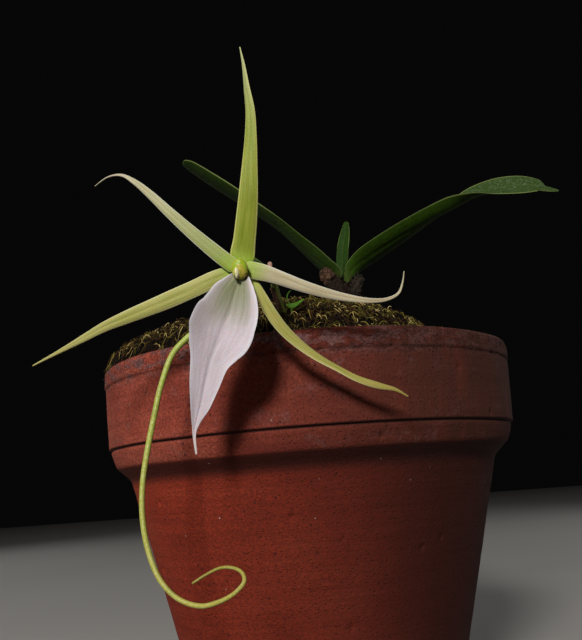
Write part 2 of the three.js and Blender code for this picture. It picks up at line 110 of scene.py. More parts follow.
def points_at(x, y, z):
    """Points from their coordinates, each spread to the same shape."""
    return np.stack(np.broadcast_arrays(x, y, z), -1)


def run_length(line):
    """How far each point lies along the line."""
    return np.concatenate([[0], np.cumsum(np.linalg.norm(np.diff(line, axis=0), axis=1))])


def smooth_run(knots, share, even=False):
    """A smooth curve through knots, read at shares 0 to 1 of their count.

    Each span is a cubic, start + a s + b s^2 + c s^3, with the knots' values and slopes at its ends. The
    slopes weigh the neighbouring knots by the square root of their distance, or evenly.
    """
    knots = np.asarray(knots, float)
    padded = np.vstack([2 * knots[0] - knots[1], knots, 2 * knots[-1] - knots[-2]])
    place = np.clip(share, 0, 1) * (len(knots) - 1)
    span = np.minimum(place.astype(int), len(knots) - 2)
    s = (place - span)[:, None]
    before, start, end, after = (padded[span + step] for step in range(4))
    rise = end - start
    if even:
        leaving, arriving = (end - before) / 2, (after - start) / 2
    else:
        pairs = ((before, start), (start, end), (end, after))
        first, middle, last = (np.sqrt(np.linalg.norm(q - p, axis=1))[:, None] for p, q in pairs)
        leaving = ((start - before) / first - (end - before) / (first + middle)) * middle + rise
        arriving = ((after - end) / last - (after - start) / (middle + last)) * middle + rise
    square, cube = 3 * rise - 2 * leaving - arriving, leaving + arriving - 2 * rise
    return start + leaving * s + square * s**2 + cube * s**3


LATTICE_PRIMES = np.array([73856093, 19349663, 83492791])
LATTICE_VALUES = 4096


def noise(places, size, seed):
    """Smooth random values from -1 to 1, one for each corner of a lattice of this size. Between the corners
    they are blended by 3s^2 - 2s^3."""
    places = np.asarray(places, float) / size
    corner = np.floor(places).astype(np.int64)
    share = places - corner
    share = share * share * (3 - 2 * share)
    table = np.random.default_rng(seed).uniform(-1, 1, LATTICE_VALUES)
    total = 0
    for step in itertools.product((0, 1), repeat=3):
        weight = np.prod(np.where(step, share, 1 - share), axis=-1)
        key = np.bitwise_xor.reduce((corner + step) * LATTICE_PRIMES, axis=-1)
        total = total + weight * table[key % LATTICE_VALUES]
    return total


def bell(distance, reach):
    """1 at no distance, falling to nothing over reach: exp(-(d / reach)^2)."""
    return np.exp(-((distance / reach) ** 2))


def crowded(low, high, count, centres, reach, gain):
    """count places from low to high, closer together round each centre: density 1 + gain bells."""
    fine = np.linspace(low, high, 6000)
    density = np.ones_like(fine) + gain * sum(bell(fine - centre, reach) for centre in centres)
    total = np.concatenate([[0], np.cumsum((density[1:] + density[:-1]) / 2)])
    return np.interp(np.linspace(0, total[-1], count), total, fine)


def eased(count):
    """Shares from 0 to 1 that lie closer together near both ends: half t and half (1 - cos(pi t)) / 2."""
    t = np.linspace(0, 1, count)
    return t / 2 + (1 - np.cos(np.pi * t)) / 4


def rounded_ends(line, first, last):
    """How much of its full size a rod or blade has along its line, where its ends are rounded over these
    lengths: sqrt(1 - (1 - distance / length)^2) for each end."""
    run = run_length(line)
    near, far = np.minimum(run / first, 1), np.minimum((run[-1] - run) / last, 1)
    return np.sqrt(np.maximum(1 - (1 - near) ** 2, 4e-3)) * np.sqrt(np.maximum(1 - (1 - far) ** 2, 4e-3))


def squares_over(index):
    """Square faces between each ring of point numbers and the next. The last axis runs round a ring."""
    turned = np.roll(index, -1, axis=-1)
    corners = index[..., :-1, :], turned[..., :-1, :], turned[..., 1:, :], index[..., 1:, :]
    return np.stack(corners, -1).reshape(-1, 4)


def tube(rings):
    """A closed skin over rings of points: squares between rings, and a fan at each end to its middle."""
    rows, columns = rings.shape[:2]
    index = np.arange(rows * columns).reshape(rows, columns)
    foot, head = rows * columns, rows * columns + 1
    fans = np.vstack([
        np.stack([np.roll(index[0], -1), index[0], np.full(columns, foot)], -1),
        np.stack([index[-1], np.roll(index[-1], -1), np.full(columns, head)], -1),
    ])
    points = np.vstack([rings.reshape(-1, 3), rings[0].mean(axis=0), rings[-1].mean(axis=0)])
    return points, squares_over(index), fans


def with_ends(layer):
    """A value for each point of the rings, and for the two end points that a tube adds."""
    return np.concatenate([layer.ravel(), [layer[0].mean(), layer[-1].mean()]])


def signed_volume(points, faces):
    """Six times the volume inside: the sum of a . (b x c) over the triangles of each face."""
    total = 0
    for step in range(1, faces.shape[1] - 1):
        a, b, c = points[faces[:, 0]], points[faces[:, step]], points[faces[:, step + 1]]
        total += np.einsum("ij,ij->", a, np.cross(b, c))
    return total


def skin(rings, **layers):
    """A tube over these rings with its faces outwards, and its layers of values."""
    points, squares, fans = tube(rings)
    if signed_volume(points, squares) + signed_volume(points, fans) < 0:
        squares, fans = squares[:, ::-1], fans[:, ::-1]
    shape = rings.shape[:2]
    spread = {name: with_ends(np.broadcast_to(layer, shape)) for name, layer in layers.items()}
    return points, [squares, fans], spread


def joined(*parts):
    """Several skins as one."""
    points = np.vstack([part[0] for part in parts])
    starts = np.cumsum([0] + [len(part[0]) for part in parts[:-1]])
    faces = [group + start for part, start in zip(parts, starts) for group in part[1]]
    layers = {name: np.concatenate([part[2][name] for part in parts]) for name in parts[0][2]}
    return points, faces, layers


def spine(stations, rows):
    """The middle line through the stations: its shares, points and directions, and the stations' other two
    values along it."""
    table = np.array([[*station, 0][:5] for station in stations], float)
    share = eased(rows + 1)
    line = smooth_run(table[:, :3], share)
    return share[:, None], line, unit(np.gradient(line, axis=0)), smooth_run(table[:, 3:], share, even=True).T


def blade(stations, face, thickness, cup, rows=150, section=18, edge=6, tip=0, relief=None, trim=None):
    """A thin closed blade, such as a petal or a leaf.

    side runs from -1 to 1 across it and along from 0 to 1. A point is the middle line + side w/2 across +
    (cup side^2 w/2 + half the thickness (1 - 0.2 side^2) sqrt(1 - |side|^edge)) outwards. relief adds to
    the last and trim multiplies the width. tip is how much of both the last fifth loses. front is 1 on the
    side that face looks from and -1 behind.
    """
    along, line, tangent, (width, roll) = spine(stations, rows)
    level = unit(np.cross(tangent, face))
    roll = np.radians(roll)[:, None]
    across = level * np.cos(roll) + np.cross(level, tangent) * np.sin(roll)
    out = np.cross(across, tangent)
    turn = np.pi * np.arange(2 * section) / section
    side = np.cos(turn)[None, :]
    front = np.sign(np.sin(turn) + 1e-9)[None, :]
    finer = 1 - tip * np.clip(along * 5 - 4, 0, 1)
    half = thickness / 2 * finer * (1 - 0.2 * side**2) * np.sqrt(1 - np.abs(side) ** edge) * front
    reach = side * finer * (width * rounded_ends(line, width[0] / 2, width[-1] / 2))[:, None] / 2
    if trim:
        reach = reach * trim(along, side)
    lift = cup * side**2 * width[:, None] / 2 + half
    if relief:
        lift = lift + relief(along, side, front)
    rings = line[:, None] + across[:, None] * reach[..., None] + out[:, None] * lift[..., None]
    return skin(rings, along=along, side=side, front=front)


def rod(stations, beside, rows=80, sides=24, flat=1, relief=None):
    """A closed round rod: middle line + r cos(turn) across + flat r sin(turn) deep, with round ends.

    Across is square to the line and to beside. relief adds to the radius.
    """
    along, line, tangent, (radius, _) = spine(stations, rows)
    across = unit(np.cross(tangent, beside))
    deep = np.cross(tangent, across)
    turn = 2 * np.pi * np.arange(sides)[None, :] / sides
    size = radius[:, None] + (relief(along, turn) if relief else 0)
    size = size * rounded_ends(line, radius[0] / 2, radius[-1])[:, None]
    reach, depth = (size * np.cos(turn))[..., None], (flat * size * np.sin(turn))[..., None]
    rings = line[:, None] + across[:, None] * reach + deep[:, None] * depth
    return skin(rings, along=along, side=np.cos(turn), front=np.sin(turn))


def threads(lines, radius, tint, sides=3):
    """Many thin closed threads on lines of points. Each ring of one is a small triangle across its line."""
    count, points = lines.shape[:2]
    tangent = unit(np.gradient(lines, axis=1))
    across = unit(np.cross(tangent, (0.31, 0.52, 0.79)))
    deep = np.cross(tangent, across)
    turn = 2 * np.pi * np.arange(sides) / sides
    ring = across[:, :, None] * np.cos(turn)[:, None] + deep[:, :, None] * np.sin(turn)[:, None]
    rings = lines[:, :, None] + radius[:, :, None, None] * ring
    index = np.arange(count * points * sides).reshape(count, points, sides)
    caps = np.vstack([index[:, 0, ::-1], index[:, -1]])
    tints = np.broadcast_to(tint[:, :, None], index.shape).ravel()
    along = np.broadcast_to(np.linspace(0, 1, points)[None, :, None], index.shape).ravel()
    return rings.reshape(-1, 3), [squares_over(index), caps], {"tint": tints, "along": along}


def new_object(name, data):
    """A mesh, lamp or camera as an object of the scene."""
    made = bpy.data.objects.new(name, data)
    bpy.context.collection.objects.link(made)
    return made


def mesh_object(name, points, groups):
    """An object with this mesh: its points in millimetres, and groups of faces."""
    mesh = bpy.data.meshes.new(name)
    faces = list(itertools.chain(*(group.tolist() for group in groups)))
    mesh.from_pydata(points * MILLIMETRE, [], faces)
    return new_object(name, mesh)


def add_piece(name, shape, finish, slot, *nodes):
    """One piece of the object, with its finish, on the body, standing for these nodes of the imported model."""
    points, faces, layers = shape
    piece = mesh_object(name, points, faces)
    mesh = piece.data
    for layer, values in layers.items():
        made = mesh.attributes.new(layer, "FLOAT", "POINT")
        made.data.foreach_set("value", np.ascontiguousarray(values, dtype=np.float32))
    mesh.shade_smooth()
    mesh.materials.append(finish.material)
    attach(piece, BODY)
    if nodes:
        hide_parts(*nodes)
    return piece


# Finishes


def tone(code):
    """A shader colour from the usual six figures of a screen colour."""
    screen = np.array([int(code[place:place + 2], 16) for place in (0, 2, 4)]) / 255
    light = np.where(screen <= 0.04045, screen / 12.92, ((screen + 0.055) / 1.055) ** 2.4)
    return (*light.tolist(), 1)


def joined_by(operation, swapped=False):
    """A method that joins a field with another, or with a number, by a Math node."""
    def method(self, other):
        return self.maths(operation, *((other, self) if swapped else (self, other)))
    return method


class Field:
    """A number that varies over a surface. Its operators add the shader's Math nodes."""

    def __init__(self, finish, socket):
        self.finish = finish
        self.socket = socket

    def maths(self, operation, *values):
        return self.finish.field("ShaderNodeMath", {"operation": operation}, dict(enumerate(values)))

    def __abs__(self):
        return self.maths("ABSOLUTE", self)

    __add__ = __radd__ = joined_by("ADD")
    __mul__ = __rmul__ = joined_by("MULTIPLY")
    __sub__ = joined_by("SUBTRACT")
    __rsub__ = joined_by("SUBTRACT", swapped=True)
    most = joined_by("MAXIMUM")

    def between(self, low, high):
        """0 at or below low and 1 at or above high, with a smooth step between. low may be the larger."""
        settings = {"interpolation_type": "SMOOTHSTEP"}
        sockets = {"Value": self, "From Min": min(low, high), "From Max": max(low, high)}
        step = self.finish.field("ShaderNodeMapRange", settings, sockets)
        return 1 - step if low > high else step


SOCKETS = {
    "specular": "Specular IOR Level",
    "subsurface": "Subsurface Weight",
    "subsurface_scale": "Subsurface Scale",
}


class Finish:
    """A surface finish: one material, its shader, and the ways to add nodes to it."""

    def __init__(self, name, **constants):
        self.material = bpy.data.materials.new(name)
        self.material.use_nodes = True
        self.nodes = self.material.node_tree.nodes
        self.links = self.material.node_tree.links
        self.shader = self.nodes["Principled BSDF"]
        for socket, value in constants.items():
            self.shader.inputs[SOCKETS[socket]].default_value = value

    def feed(self, socket, value):
        value = value.socket if isinstance(value, Field) else value
        if isinstance(value, bpy.types.NodeSocket):
            self.links.new(value, socket)
        else:
            socket.default_value = value

    def node(self, kind, settings, sockets, output=0):
        """One node: its settings first, then its sockets, by name or number. Gives its output socket."""
        made = self.nodes.new(kind)
        for setting, value in settings.items():
            if setting != "stops":
                setattr(made, setting, value)
        for place, (at, colour) in enumerate(settings.get("stops", ())):
            elements = made.color_ramp.elements
            stop = elements[place] if place < 2 else elements.new(at)
            stop.position, stop.color = at, tone(colour)
        for socket, value in sockets.items():
            self.feed(made.inputs[socket], value)
        return made.outputs[output]

    def field(self, kind, settings, sockets, output=0):
        """The same as a field, which takes sums and products."""
        return Field(self, self.node(kind, settings, sockets, output))

    def place(self, stretch=(1, 1, 1)):
        """The point's place in millimetres, times stretch."""
        where = self.node("ShaderNodeTexCoord", {}, {}, "Object")
        scale = tuple(part / MILLIMETRE for part in stretch)
        return self.node("ShaderNodeVectorMath", {"operation": "MULTIPLY"}, {0: where, 1: scale})

    def strip(self, across, length):
        """The point's place on a blade or rod: side times across, along times length, and its face."""
        places = {"X": self.layer("side") * across, "Y": self.layer("along") * length}
        return self.node("ShaderNodeCombineXYZ", {}, places | {"Z": self.layer("front") * 3})

    def part(self, axis, where):
        return self.field("ShaderNodeSeparateXYZ", {}, {0: where}, axis)

    def layer(self, name):
        return self.field("ShaderNodeAttribute", {"attribute_name": name}, {}, "Fac")

    def clouds(self, size, where, detail=3.0, roughness=0.55):
        """Soft noise from about 0.2 to 0.8, with lumps of this size."""
        sockets = {"Vector": where, "Scale": 1 / size, "Detail": detail, "Roughness": roughness}
        return self.field("ShaderNodeTexNoise", {}, sockets)

    def cells(self, size, where, feature="F1"):
        """The distance to the nearest of scattered points, in cells of this size."""
        sockets = {"Vector": where, "Scale": 1 / size}
        return self.field("ShaderNodeTexVoronoi", {"feature": feature}, sockets, "Distance")

    def ramp(self, value, *stops):
        return self.node("ShaderNodeValToRGB", {"stops": stops}, {0: value})

    def mix(self, share, first, second):
        """The first colour with this share of the second in it."""
        first, second = (tone(colour) if isinstance(colour, str) else colour for colour in (first, second))
        return self.node("ShaderNodeMix", {"data_type": "RGBA"}, {0: share, 6: first, 7: second}, 2)

    def coat(self, colour, *coats):
        """The colour under thin coats from the lowest up, each (its share, its colour)."""
        for share, over in coats:
            colour = self.mix(share, colour, over)
        return colour

    def paint(self, colour, roughness, *bumps):
        """Sets the colour and roughness. Each bump is (height field, its depth in millimetres)."""
        self.feed(self.shader.inputs["Base Color"], colour)
        self.feed(self.shader.inputs["Roughness"], roughness)
        lower = {}
        for height, depth in bumps:
            sockets = {"Strength": 1.0, "Distance": depth * MILLIMETRE, "Height": height} | lower
            lower = {"Normal": self.node("ShaderNodeBump", {}, sockets)}
        for socket, normal in lower.items():
            self.feed(self.shader.inputs[socket], normal)
        return self


# Heights where the salty, flaking rim of the pot starts and where it is at its full
WORN_RIM = (128, 133)


def fired_clay():
    """Porous red clay: mottled and pitted, pale with salt near the rim, darker towards the right, partly a
    brown stain and partly painted shade, with painted shade under the band and dark lines of painted
    shade and dirt in the groove and the crease.
    """
    clay = Finish("fired_clay", specular=0.25)
    where = clay.place()
    height, right = clay.part("Z", where), clay.part("X", where)
    broad = clay.clouds(38, where, 4)
    turned_marks = clay.clouds(2.6, clay.place((0.05, 0.05, 1)), 3)
    mottle = broad * 0.7 + turned_marks * 0.3
    band = clay.ramp(mottle, (0.36, "8c382b"), (0.5, "ab4f3c"), (0.64, "bd614c"))
    body = clay.ramp(mottle, (0.36, "8c2d18"), (0.5, "a63a21"), (0.64, "b4472b"))
    on_band = height.between(BAND_FOOT - 1, BAND_FOOT)
    streaks = clay.clouds(6, clay.place((1, 1, 0.16)), 4)
    stain = right.between(-12, 44) * on_band * (streaks.between(0.3, 0.62) * 0.35 + 0.55)
    # The body darker at the right: partly a damp brown stain, partly painted shade where the light falls off.
    damp_and_shade = right.between(-10, 42) * (1 - on_band) * (broad * 0.25 + 0.72)
    # Painted shade under the band's foot, down its sloping underside.
    painted_shade_under_band = height.between(BAND_FOOT, BAND_FOOT - 1) * height.between(SHELF_HEIGHT - 3.5, SHELF_HEIGHT + 1)
    worn_rim = height.between(*WORN_RIM)
    wear = clay.clouds(6, clay.place((1, 1, 2.2)), 6, 0.65)
    bloom = wear.between(0.46, 0.6) * worn_rim * (right.between(50, -10) * 0.6 + 0.25)
    patches = clay.clouds(9, where, 6, 0.7).between(0.55, 0.7) * on_band * 0.35
    grain = clay.clouds(0.8, where, 4, 0.7)
    specks = clay.cells(3.1, where).between(0.16, 0.08) * clay.clouds(9, where).between(0.48, 0.6)
    chalk = clay.cells(6.5, where).between(0.055, 0.03) * clay.clouds(16, where).between(0.5, 0.56)
    # A dark line in the groove: painted shade, with some dirt.
    groove_dirt_and_shade = abs(height - GROOVE_HEIGHT).between(0.75, 0.2)
    # A dark line at the step under the lip line: painted shade with some dirt, broken by streaks.
    crease_dirt_and_shade = abs(height - LIP_LINE).between(0.9, 0.1) * streaks.between(0.35, 0.6)
    colour = clay.coat(
        clay.mix(on_band, body, band),
        # Painted shade: the first coat darkens the clay towards the right, where the light falls off.
        (right.between(-66, 6) * 0.6, "43130a"), (stain, "46291e"), (damp_and_shade, "1e0c06"),
        (painted_shade_under_band * 0.8, "120604"), (bloom.most(patches), "7d5f5e"),
        (grain.between(0.6, 0.44) * 0.45, "4a1c13"), (specks * 0.8, "23100c"), (chalk * 0.8, "b8a296"),
        (groove_dirt_and_shade * 0.85, "1d0d09"), (crease_dirt_and_shade * 0.6, "3a1c14"),
    )
    pores = clay.cells(1.1, where).between(0.3, 0.12) * -1
    flakes = clay.clouds(2.2, clay.place((1, 1, 1.6)), 5, 0.7).between(0.5, 0.56) * worn_rim
    bumps = (flakes, 0.35), (turned_marks, 0.25), (grain, 0.3), (pores, 0.22)
    return clay.paint(colour, 0.78 + grain * 0.2, *bumps)


def bark_medium():
    """Dark chips of bark and fibre."""
    bark = Finish("bark_medium", specular=0.2)
    chips = bark.cells(6, bark.place())
    colour = bark.ramp(chips, (0.0, "1c120b"), (0.5, "3d2818"), (0.9, "5a3e26"))
    return bark.paint(colour, 0.9, (chips, 1.5), (bark.clouds(1, bark.place()), 0.3))


def moss_gap_shade():
    """The mound under the strands, painted near black up to dark brown as the shade in the gaps between them.
    """
    bed = Finish("moss_gap_shade", specular=0.1)
    lumps = bed.clouds(2.5, bed.place(), 6, 0.7)
    return bed.paint(bed.ramp(lumps, (0.38, "060403"), (0.52, "150e07"), (0.7, "2c2010")), 0.95, (lumps, 1.2))


def moss_strand():
    """Dry to living moss strands: brown, gold, olive and straw by their tint, dark at one end."""
    strand = Finish("moss_strand", specular=0.2)
    colour = strand.ramp(strand.layer("tint"), (0.0, "0c0603"), (0.25, "24130a"), (0.45, "4c3116"),
                         (0.6, "5f4f1c"), (0.74, "54541c"), (0.88, "94803a"), (1.0, "d8c07a"))
    return strand.paint(strand.mix(strand.layer("along").between(0.5, 0.0) * 0.6, colour, "150d07"), 0.85)


def fibre():
    """Dead leaf fibres, from near black to grey straw by their tint."""
    dry = Finish("dry_fibre", specular=0.2)
    stops = (0.0, "100a08"), (0.4, "2e1f17"), (0.75, "5e4534"), (1.0, "8f775e")
    return dry.paint(dry.ramp(dry.layer("tint"), *stops), 0.9)


def old_wraps():
    """Old leaf bases round the stem: dark brown, ribbed lengthwise, grey where the skin has worn."""
    wraps = Finish("old_wraps", specular=0.2)
    ribs = wraps.clouds(0.8, wraps.place((1, 1, 0.12)), 4, 0.6)
    patches = wraps.clouds(4, wraps.place(), 4)
    colour = wraps.ramp(ribs, (0.35, "0b0705"), (0.5, "20150f"), (0.62, "3b2a20"), (0.72, "5c4a3b"))
    return wraps.paint(wraps.mix(patches.between(0.5, 0.64) * 0.5, colour, "241a14"), 0.9, (ribs, 0.5))


def torn_sheath(name, dark, middle, light, foot):
    """A papery or fibrous leaf sheath with a raised net of veins, near black up to foot of its length."""
    paper = Finish(name, specular=0.25)
    net = paper.cells(0.5, paper.strip(2.4, 3.2), "DISTANCE_TO_EDGE")
    streaks = paper.clouds(0.35, paper.strip(2.2, 0.9), 5, 0.65)
    colour = paper.coat(
        paper.ramp(streaks, (0.36, dark), (0.5, middle), (0.66, light)),
        (net.between(0.12, 0.03) * 0.6, light),
        (paper.layer("along").between(foot, foot - 0.25) * 0.85, "120b08"),
    )
    return paper.paint(colour, 0.85, (net.between(0.14, 0.0), 0.12), (streaks, 0.25))


def leaf_skin(name, dark, light, upper, margin, base_share=0.4):
    """Leathery leaf skin: fine lengthwise veins, tiny pale cells, a paler keel and a thin pale margin painted
    as a highlight of the lit edge, which is wider on the outer half. The upper face looks away from the viewer
    and is velvety, with patches of painted sheen."""
    leaf = Finish(name, specular=0.12)
    side, along = abs(leaf.layer("side")), leaf.layer("along")
    veins = leaf.clouds(0.1, leaf.strip(1, 0.9), 3, 0.6)
    velvet = leaf.clouds(0.9, leaf.place(), 3, 0.7)
    cells = leaf.cells(0.34, leaf.place())
    mottle = leaf.clouds(5, leaf.place(), 4)
    above = (leaf.layer("front") * -1).between(-0.2, 0.2)
    outer_half = along.between(0.45, 0.6)
    # The thin pale margin is a painted highlight of the lit edge.
    rim = (side + outer_half * 0.035).between(0.955, 0.99)
    colour = leaf.coat(
        leaf.ramp(veins * 0.3 + velvet * 0.4 + mottle * 0.3, (0.4, dark), (0.6, light)),
        (above * 0.8, upper), (cells.between(0.3, 0.1) * 0.12, margin),
        (side.between(0.07, 0.0) * 0.15, margin), (along.between(0.14, 0.0) * base_share, "4f5a26"),
        # Painted sheen: pale grey-green patches on the velvety upper face.
        (above * velvet.between(0.5, 0.62) * 0.5, "6c7c62"),
        (above * veins.between(0.52, 0.66) * 0.35, "26401c"), (rim * (0.4 + outer_half * 0.5), margin),
    )
    return leaf.paint(colour, 0.62 + above * 0.1, (veins, 0.06), (velvet, 0.1), (cells, 0.05))


def tepal_skin(name, low, high, border, base, base_end, vein_depth=0.05, tip=None):
    """Fleshy petal skin: green up to base_end of its length, with fine veins, pale cell specks painted as
    small glints, and a pale border."""
    tepal = Finish(name, specular=0.35, subsurface=0.12, subsurface_scale=0.0015)
    side, along = abs(tepal.layer("side")), tepal.layer("along")
    veins = tepal.clouds(0.16, tepal.strip(1, 1.1), 3, 0.5)
    cells = tepal.cells(0.28, tepal.place())
    margin = side.between(0.84, 0.93)
    colour = tepal.coat(
        tepal.mix(veins.between(0.35, 0.65), low, high),
        (side.between(0.3, 0.95) * 0.15 + margin * 0.7, border),
        *([(along.between(0.55, 1.0) * 0.6, tip)] if tip else []),
        (along.between(base_end, 0.0) * (1 - margin * 0.7), base),
        # Painted glints: the pale cell specks at the end of the line below.
        (along.between(0.16, 0.03) * 0.6, "a0be38"), (cells.between(0.3, 0.1) * 0.12, border),
    )
    return tepal.paint(colour, 0.5 + veins * 0.1, (veins, vein_depth), (cells, 0.035))


def lip_skin():
    """White lip with a breath of lilac, whiter edges painted as a highlight, a grey-green throat that is partly
    its own green and partly painted shade, painted shade in its folds and on its upper left, and fine
    branching veins.
    """
    white = Finish("lip_skin", specular=0.35, subsurface=0.15, subsurface_scale=0.0015)
    across, along = white.layer("side"), white.layer("along")
    side = abs(across)
    veins = white.clouds(0.1, white.strip(1, 0.8), 4, 0.55)
    cells = white.cells(0.32, white.place())
    folds = white.clouds(0.09, white.strip(1, 0.12), 2, 0.4)
    # The throat: partly its own grey-green, partly painted shade.
    throat = along.between(0.46, 0.2) * side.between(1.0, 0.4)
    # Painted shade on the upper left of the lip.
    painted_shade_upper_left = across.between(-0.2, 0.5) * side.between(1.0, 0.8) * along.between(0.6, 0.3)
    colour = white.coat(
        white.mix(veins.between(0.36, 0.64), "d3c5cd", "ded1da"),
        # Painted highlight: the whiter edges. Painted shade: the grey on the upper left and much of the throat.
        (side.between(0.75, 1.0) * 0.5, "f6f0f6"), (painted_shade_upper_left * 0.4, "aaa396"), (throat * 0.95, "878b64"),
        # Painted shade in the throat's folds.
        (throat * folds.between(0.42, 0.6) * 0.35, "6f7650"),
        (along.between(0.1, 0.0) * side.between(0.9, 0.3) * 0.7, "9aa55a"),
        (along.between(0.82, 1.0) * 0.35, "e9dcc4"),
    )
    return white.paint(colour, 0.5 + veins * 0.1, (veins, 0.08), (cells, 0.07))


def spur_skin():
    """Green nectar tube: yellower towards its tip, with fine transverse bands."""
    green = Finish("spur_skin", specular=0.4, subsurface=0.1, subsurface_scale=0.001)
    bands = green.clouds(0.5, green.strip(0.25, 130), 2, 0.5)
    colour = green.coat(
        green.ramp(green.layer("along"), (0.0, "a9c455"), (0.3, "a4b23c"), (0.6, "b3ae4a"), (0.85, "a39a34"),
                   (1.0, "8f8a2a")),
        (bands.between(0.45, 0.62) * 0.38, "d9d795"),
        (green.clouds(6, green.place(), 3).between(0.55, 0.7) * 0.35, "7d8a24"),
    )
    return green.paint(colour, 0.42, (bands, 0.12))


def column_skin():
    """Waxy column: yellow-ochre inside its bright green hood, with a furrow's shade painted as a dark olive
    line.
    """
    wax = Finish("column_skin", specular=0.4, subsurface=0.15, subsurface_scale=0.001)
    side, along, front = wax.layer("side"), wax.layer("along"), wax.layer("front")
    mottle = wax.clouds(0.9, wax.place(), 3)
    hood = abs(along - 0.8).between(0.14, 0.05) * (front * -1).between(-0.5, 0.2)
    # Painted shade: a dark olive line where a furrow runs in the hood.
    furrow = abs(side + 0.25).between(0.16, 0.03) * along.between(0.84, 0.9) * front.between(-0.6, 0.2)
    colour = wax.coat(
        wax.mix(mottle.between(0.35, 0.65), "b0aa2c", "ccbe52"),
        (hood * 0.95, "98ba18"), (along.between(0.7, 0.4) * 0.8, "8ea63a"), (furrow * 0.7, "6c7c10"),
    )
    return wax.paint(colour, 0.4, (mottle, 0.15))


def cap_skin():
    """Pale waxy anther cap, with painted shade in yellow-green towards its furrow side."""
    wax = Finish("cap_skin", specular=0.4, subsurface=0.2, subsurface_scale=0.001)
    mottle = wax.clouds(0.8, wax.place(), 3)
    # Painted shade: the cap turns darker yellow-green across towards its furrow side.
    colour = wax.mix(wax.layer("side").between(-0.1, 0.6) * 0.85, "f0e8bc", "aab038")
    return wax.paint(wax.mix(mottle.between(0.55, 0.7) * 0.3, colour, "c9c25c"), 0.35, (mottle, 0.1))


def stalk_skin(name, low, high, brown, pink_above=1.5):
    """Stalk skin: green with a brown dry strip down one side, and dry pink above pink_above of its length."""
    stalk = Finish(name, specular=0.35)
    streaks = stalk.clouds(0.5, stalk.strip(1.2, 3.5), 4, 0.6)
    uneven = streaks - 0.5
    colour = stalk.coat(
        stalk.ramp(streaks, (0.35, low), (0.65, high)),
        ((stalk.layer("side") + uneven * 0.9).between(0.25, 0.6) * 0.85, brown),
        ((stalk.layer("along") + uneven * 0.1).between(pink_above - 0.04, pink_above), "b58a78"),
    )
    return stalk.paint(colour, 0.6, (streaks, 0.2))


# Pot


def rounded(corners, steps=5):
    """The outline through these [radius, height, fillet] corners, each rounded by a curve
    (1-t)^2 a + 2t(1-t) corner + t^2 b between the points a fillet away from it on its two sides."""
    points = np.array([corner[:2] for corner in corners], float)
    outline = [points[:1]]
    t = np.linspace(0, 1, steps)[:, None]
    for before, corner, after, (_, _, fillet) in zip(points, points[1:], points[2:], corners[1:]):
        a = corner + unit(before - corner) * fillet
        b = corner + unit(after - corner) * fillet
        outline.append((1 - t) ** 2 * a + 2 * t * (1 - t) * corner + t**2 * b)
    return np.vstack([*outline, points[-1:]])


# Small pits and lime chips in the clay: [turn in degrees, height, radius, depth]
PITS = [
    [-140.3, 90.3, 0.8, 0.7], [-96.5, 84.1, 0.9, 0.8], [-58.8, 71.5, 0.8, 0.6], [-73.7, 105.1, 1.0, 0.7],
    [-39.2, 111.3, 0.9, 0.7], [-81.7, 50.5, 1.0, 0.8], [-51.5, 74, 0.8, 0.6], [-152.6, 67.8, 1.0, 0.7],
    [-130.9, 63.6, 0.8, 0.6], [-101.5, 110.8, 0.6, 0.4], [-51.2, 125.1, 0.8, 0.5], [-27.9, 134.2, 0.8, 0.5],
    [-35.3, 131.1, 0.6, 0.4], [-83, 76.6, 0.6, 0.4], [40, 92, 0.9, 0.6], [96, 118, 0.9, 0.6],
    [150, 60, 0.9, 0.7],
]
POT_SPOKES = 400
OUTSIDE_ROWS = 176
INSIDE_ROWS = 44


def pot_outlines():
    """The wall's outline up the outside, and the one down the inside to the floor."""
    over_rim = [MOUTH_RADIUS + 2, POT_HEIGHT, 0]
    outside = rounded([
        [0, 0, 0], [BASE_RADIUS, 0, 1.8], [SHELF_RADIUS, SHELF_HEIGHT, 1.2],
        [BAND_FOOT_RADIUS - 0.2, BAND_FOOT - 0.2, 1.2], [GROOVE_RADIUS - 0.7, GROOVE_HEIGHT - 0.6, 0.3],
        [GROOVE_RADIUS - 1.3, GROOVE_HEIGHT - 0.1, 0.15], [GROOVE_RADIUS, GROOVE_HEIGHT + 0.35, 0.3],
        [RIM_RADIUS - 0.35, POT_HEIGHT - 7.4, 0.4], [RIM_RADIUS - 0.6, LIP_LINE, 0.2],
        [RIM_RADIUS, POT_HEIGHT - 6, 0.5], [RIM_RADIUS, POT_HEIGHT, 2.0], over_rim,
    ])
    inside = rounded([
        over_rim, [MOUTH_RADIUS, POT_HEIGHT, 1.3], [FLOOR_RADIUS, FLOOR_THICKNESS, 3],
        [0, FLOOR_THICKNESS, 0],
    ])
    return outside, inside


def along_outline(outline, count, centres=(), reach=2.0, gain=2.5):
    """count points on the outline, closer together near the heights in centres."""
    run = run_length(outline)
    flat = np.argmax(outline[:, 1] > 0.5)
    runs = np.interp(centres, outline[flat:, 1], run[flat:])
    places = crowded(0, run[-1], count, runs, reach, gain)
    return np.stack([np.interp(places, run, outline[:, axis]) for axis in (0, 1)], -1)


